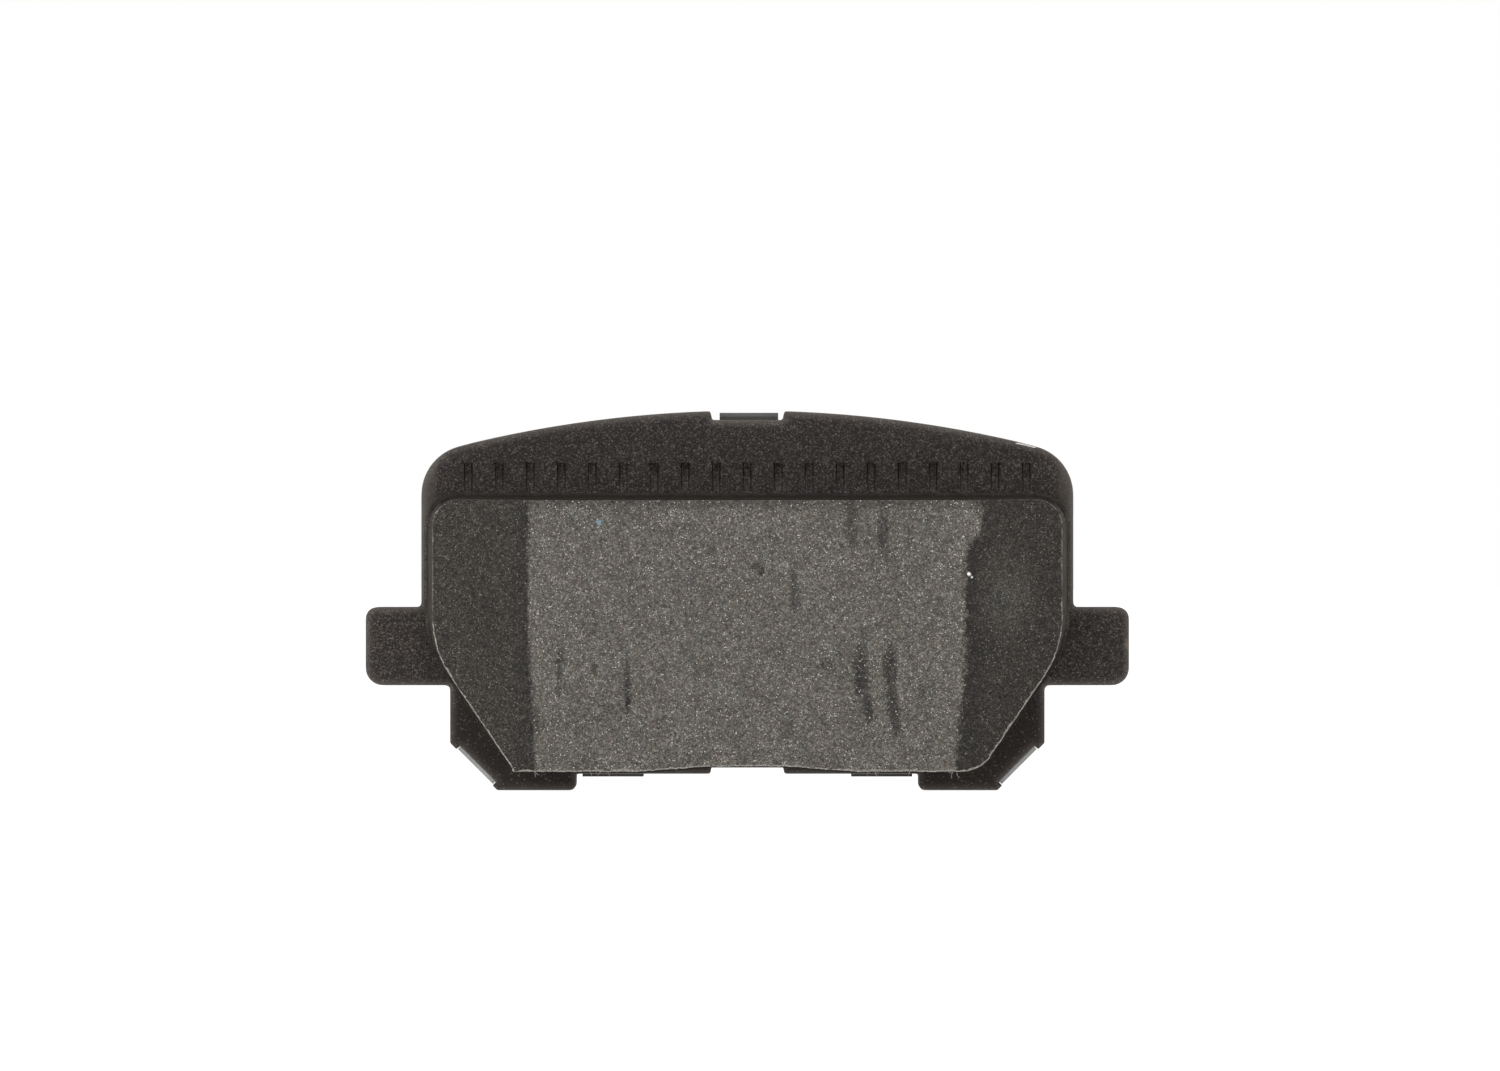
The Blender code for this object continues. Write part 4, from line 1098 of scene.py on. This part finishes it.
def build_fibres():
    """Short curled fibres standing out of the block's lower edge."""
    draw = random.Random(11)
    vertices = []
    faces = []
    for x_mm in FIBRE_PLACES:
        place = Vector((x_mm * MM, FACE + draw.uniform(*FIBRE_DEPTHS) * MM, FIBRE_ROOT))
        heading = Vector((draw.uniform(-1.0, 1.0), draw.uniform(-0.3, 0.3), -draw.uniform(0.35, 0.9)))
        heading.normalize()
        curl = draw.uniform(*FIBRE_CURLS)
        length = draw.uniform(*FIBRE_STEP_LENGTHS) * MM
        start = len(vertices)
        for step in range(FIBRE_STEPS):
            sideways = heading.cross(Vector((0.0, 1.0, 0.0))).normalized()
            upward = heading.cross(sideways)
            radius = FIBRE_RADIUS * (1.0 - 0.5 * step / FIBRE_STEPS)
            for corner in range(FIBRE_SIDES):
                turn = 2.0 * math.pi * corner / FIBRE_SIDES
                vertices.append(place + (sideways * math.cos(turn) + upward * math.sin(turn)) * radius)
            place = place + heading * length
            heading = Matrix.Rotation(curl, 3, "Y") @ heading
        for step in range(FIBRE_STEPS - 1):
            low = start + step * FIBRE_SIDES
            for corner in range(FIBRE_SIDES):
                beside = (corner + 1) % FIBRE_SIDES
                high = low + FIBRE_SIDES
                faces.append((low + corner, low + beside, high + beside, high + corner))
        faces.append(tuple(range(start, start + FIBRE_SIDES)))
        faces.append(tuple(range(len(vertices) - FIBRE_SIDES, len(vertices))))
    fibres = new_piece("edge_fibres", vertices, faces, [fibre_look()])
    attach(fibres, "root")


# ------------------------------ layers kept from the CAD


# Widths of broken edges, the steps across them, and the least angle of such an edge in degrees
FILM_EDGE = 0.02 * MM
SHIM_EDGE = 0.06 * MM
UNDERLAYER_EDGE = 0.04 * MM
EDGE_STEPS = 2
EDGE_ANGLE = 50.0
BARE_STEEL = (0.285, 0.282, 0.280)
LEDGE_TONES = ((0.3, srgb(18, 16, 14)), (0.55, srgb(38, 35, 31)), (0.8, srgb(78, 73, 66)))
# Distance from the middle beyond which the ledge is painted paler, as light that offsets its shade
LEDGE_ENDS = mm(40.2, 40.8)


def dress(node, material, edge_width):
    """Give a CAD node its material and slightly broken edges."""
    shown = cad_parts[node]
    if not shown.material_slots:
        shown.data.materials.append(material)
    for slot in shown.material_slots:
        slot.material = material
    bevel = shown.modifiers.new("Broken_edges", "BEVEL")
    bevel.width = edge_width
    bevel.segments = EDGE_STEPS
    bevel.limit_method = "ANGLE"
    bevel.angle_limit = math.radians(EDGE_ANGLE)


def ledge_look():
    """Moulded underlayer: a brown-black compound, paler than the block's wall, and painted lighter
    towards its ends as light.
    """
    look = Look("moulded_underlayer", roughness=0.9)
    fine = look.clouds(0.2 * MM, detail=3.0, roughness=0.65)
    # Painted light: the ledge is made paler towards its ends to offset the shade beside the block
    lit_paler = look.between(look.math("ABSOLUTE", look.axis("X")), *LEDGE_ENDS, 1.0, 2.6)
    tone = look.tinted(look.ramp(fine, *LEDGE_TONES), lit_paler)
    colour = mottled(look, tone, 1.2 * MM, 0.7, 1.3)
    return look.finish(colour, None, look.bump(fine, distance=0.06 * MM, strength=0.8))


def dress_layers():
    """Materials for the thin layers and the shims."""
    rubber = rubber_look("shim_rubber", srgb(36, 36, 37))
    dress("underlayer", ledge_look(), UNDERLAYER_EDGE)
    dress("bond_adhesive", rubber_look("bond_film", srgb(52, 44, 38)), FILM_EDGE)
    dress("shim_adhesive", rubber_look("shim_film", srgb(60, 56, 50)), FILM_EDGE)
    dress("inner_shim_rubber_front", rubber, FILM_EDGE)
    dress("inner_shim_rubber_back", rubber, FILM_EDGE)
    dress("inner_shim_core", rubber_look("coated_core", srgb(58, 57, 52)), SHIM_EDGE)
    dress("outer_shim", steel_look("bare_shim_steel", BARE_STEEL, 0.42), SHIM_EDGE)


# ------------------------------ studio

# The camera's distance from the plate's front, the width it sees there, its sensor's width in
# mm, and its place
CAMERA_DISTANCE = 0.800
FRAME_WIDTH = 191.4 * MM
SENSOR_WIDTH = 36.0
CAMERA_X = 0.34 * MM
CAMERA_Z = 14.14 * MM
NEAREST_SEEN = 0.01
# The floor's reach, tones, and gap under the part
FLOOR_HALF_SIZE = 3.0
FLOOR_TONES = ((0.0, (0.20, 0.20, 0.20)), (1.0, (0.23, 0.23, 0.23)))
FLOOR_GAP = 0.01 * MM
# Brightness of the floor and of the surroundings before and behind the pad, and the directions
# along Y between which the one turns into the other
FLOOR_GLOW = 0.97
FRONT_GLOW = 0.15
BACK_GLOW = 0.95
GLOW_TURN = (-0.2, 0.4)
# Square area lights: name, place, size and power in watts
LIGHTS = (
    ("key_left", (-0.72, -0.66, 0.22), 0.85, 6.8),
    ("fill_right", (0.80, -0.50, 0.25), 0.60, 2.0),
    ("overhead", (0.05, -0.50, 0.85), 0.70, 6.6),
)


def build_floor():
    """White light table: a flat floor that glows faintly, so nothing on it casts a hard shadow."""
    look = Look("studio_floor", roughness=0.95)
    look.finish(look.ramp(look.clouds(40.0 * MM), *FLOOR_TONES))
    look.shader.inputs["Emission Color"].default_value = (1.0, 1.0, 1.0, 1.0)
    look.shader.inputs["Emission Strength"].default_value = FLOOR_GLOW
    level = cad_box[0].z - FLOOR_GAP
    corners = [(x, y, level) for x, y in ((-1, -1), (1, -1), (1, 1), (-1, 1))]
    corners = [(x * FLOOR_HALF_SIZE, y * FLOOR_HALF_SIZE, z) for x, y, z in corners]
    floor = new_piece("studio_floor", corners, [(0, 1, 2, 3)], [look.material])


def build_surroundings():
    """White surroundings, darker on the side that the friction face looks at."""
    world = bpy.data.worlds.new("studio")
    world.use_nodes = True
    tree = world.node_tree
    background = tree.nodes["Background"]
    background.inputs["Color"].default_value = (1.0, 1.0, 1.0, 1.0)
    direction = tree.nodes.new("ShaderNodeSeparateXYZ")
    tree.links.new(tree.nodes.new("ShaderNodeTexCoord").outputs["Generated"], direction.inputs[0])
    fade = tree.nodes.new("ShaderNodeMapRange")
    tree.links.new(direction.outputs["Y"], fade.inputs["Value"])
    limits = (*GLOW_TURN, FRONT_GLOW, BACK_GLOW)
    for socket, value in zip(RANGE_LIMITS, limits):
        fade.inputs[socket].default_value = value
    brighter = tree.nodes.new("ShaderNodeMath")
    brighter.operation = "MAXIMUM"
    tree.links.new(fade.outputs["Result"], brighter.inputs[0])
    tree.links.new(tree.nodes.new("ShaderNodeLightPath").outputs["Is Camera Ray"], brighter.inputs[1])
    tree.links.new(brighter.outputs[0], background.inputs["Strength"])
    bpy.context.scene.world = world


def add_light(name, place, size, power):
    """A soft square area light aimed at the origin."""
    data = bpy.data.lights.new(name, "AREA")
    data.size = size
    data.energy = power
    lamp = bpy.data.objects.new(name, data)
    lamp.location = place
    lamp.rotation_euler = (-Vector(place)).to_track_quat("-Z", "Y").to_euler()
    bpy.context.scene.collection.objects.link(lamp)


def build_studio():
    """Surroundings, lights and camera."""
    scene = bpy.context.scene
    build_surroundings()
    scene.view_settings.view_transform = "Standard"
    for light in LIGHTS:
        add_light(*light)
    lens = bpy.data.cameras.new("camera")
    lens.sensor_width = SENSOR_WIDTH
    lens.lens = SENSOR_WIDTH * CAMERA_DISTANCE / FRAME_WIDTH
    lens.clip_start = NEAREST_SEEN
    camera = bpy.data.objects.new("camera", lens)
    camera.location = (CAMERA_X, PLATE_FRONT - CAMERA_DISTANCE, CAMERA_Z)
    camera.rotation_euler = (math.radians(90.0), 0.0, 0.0)
    scene.collection.objects.link(camera)
    scene.camera = camera


build_plate()
build_block()
build_fibres()
dress_layers()
build_floor()
build_studio()
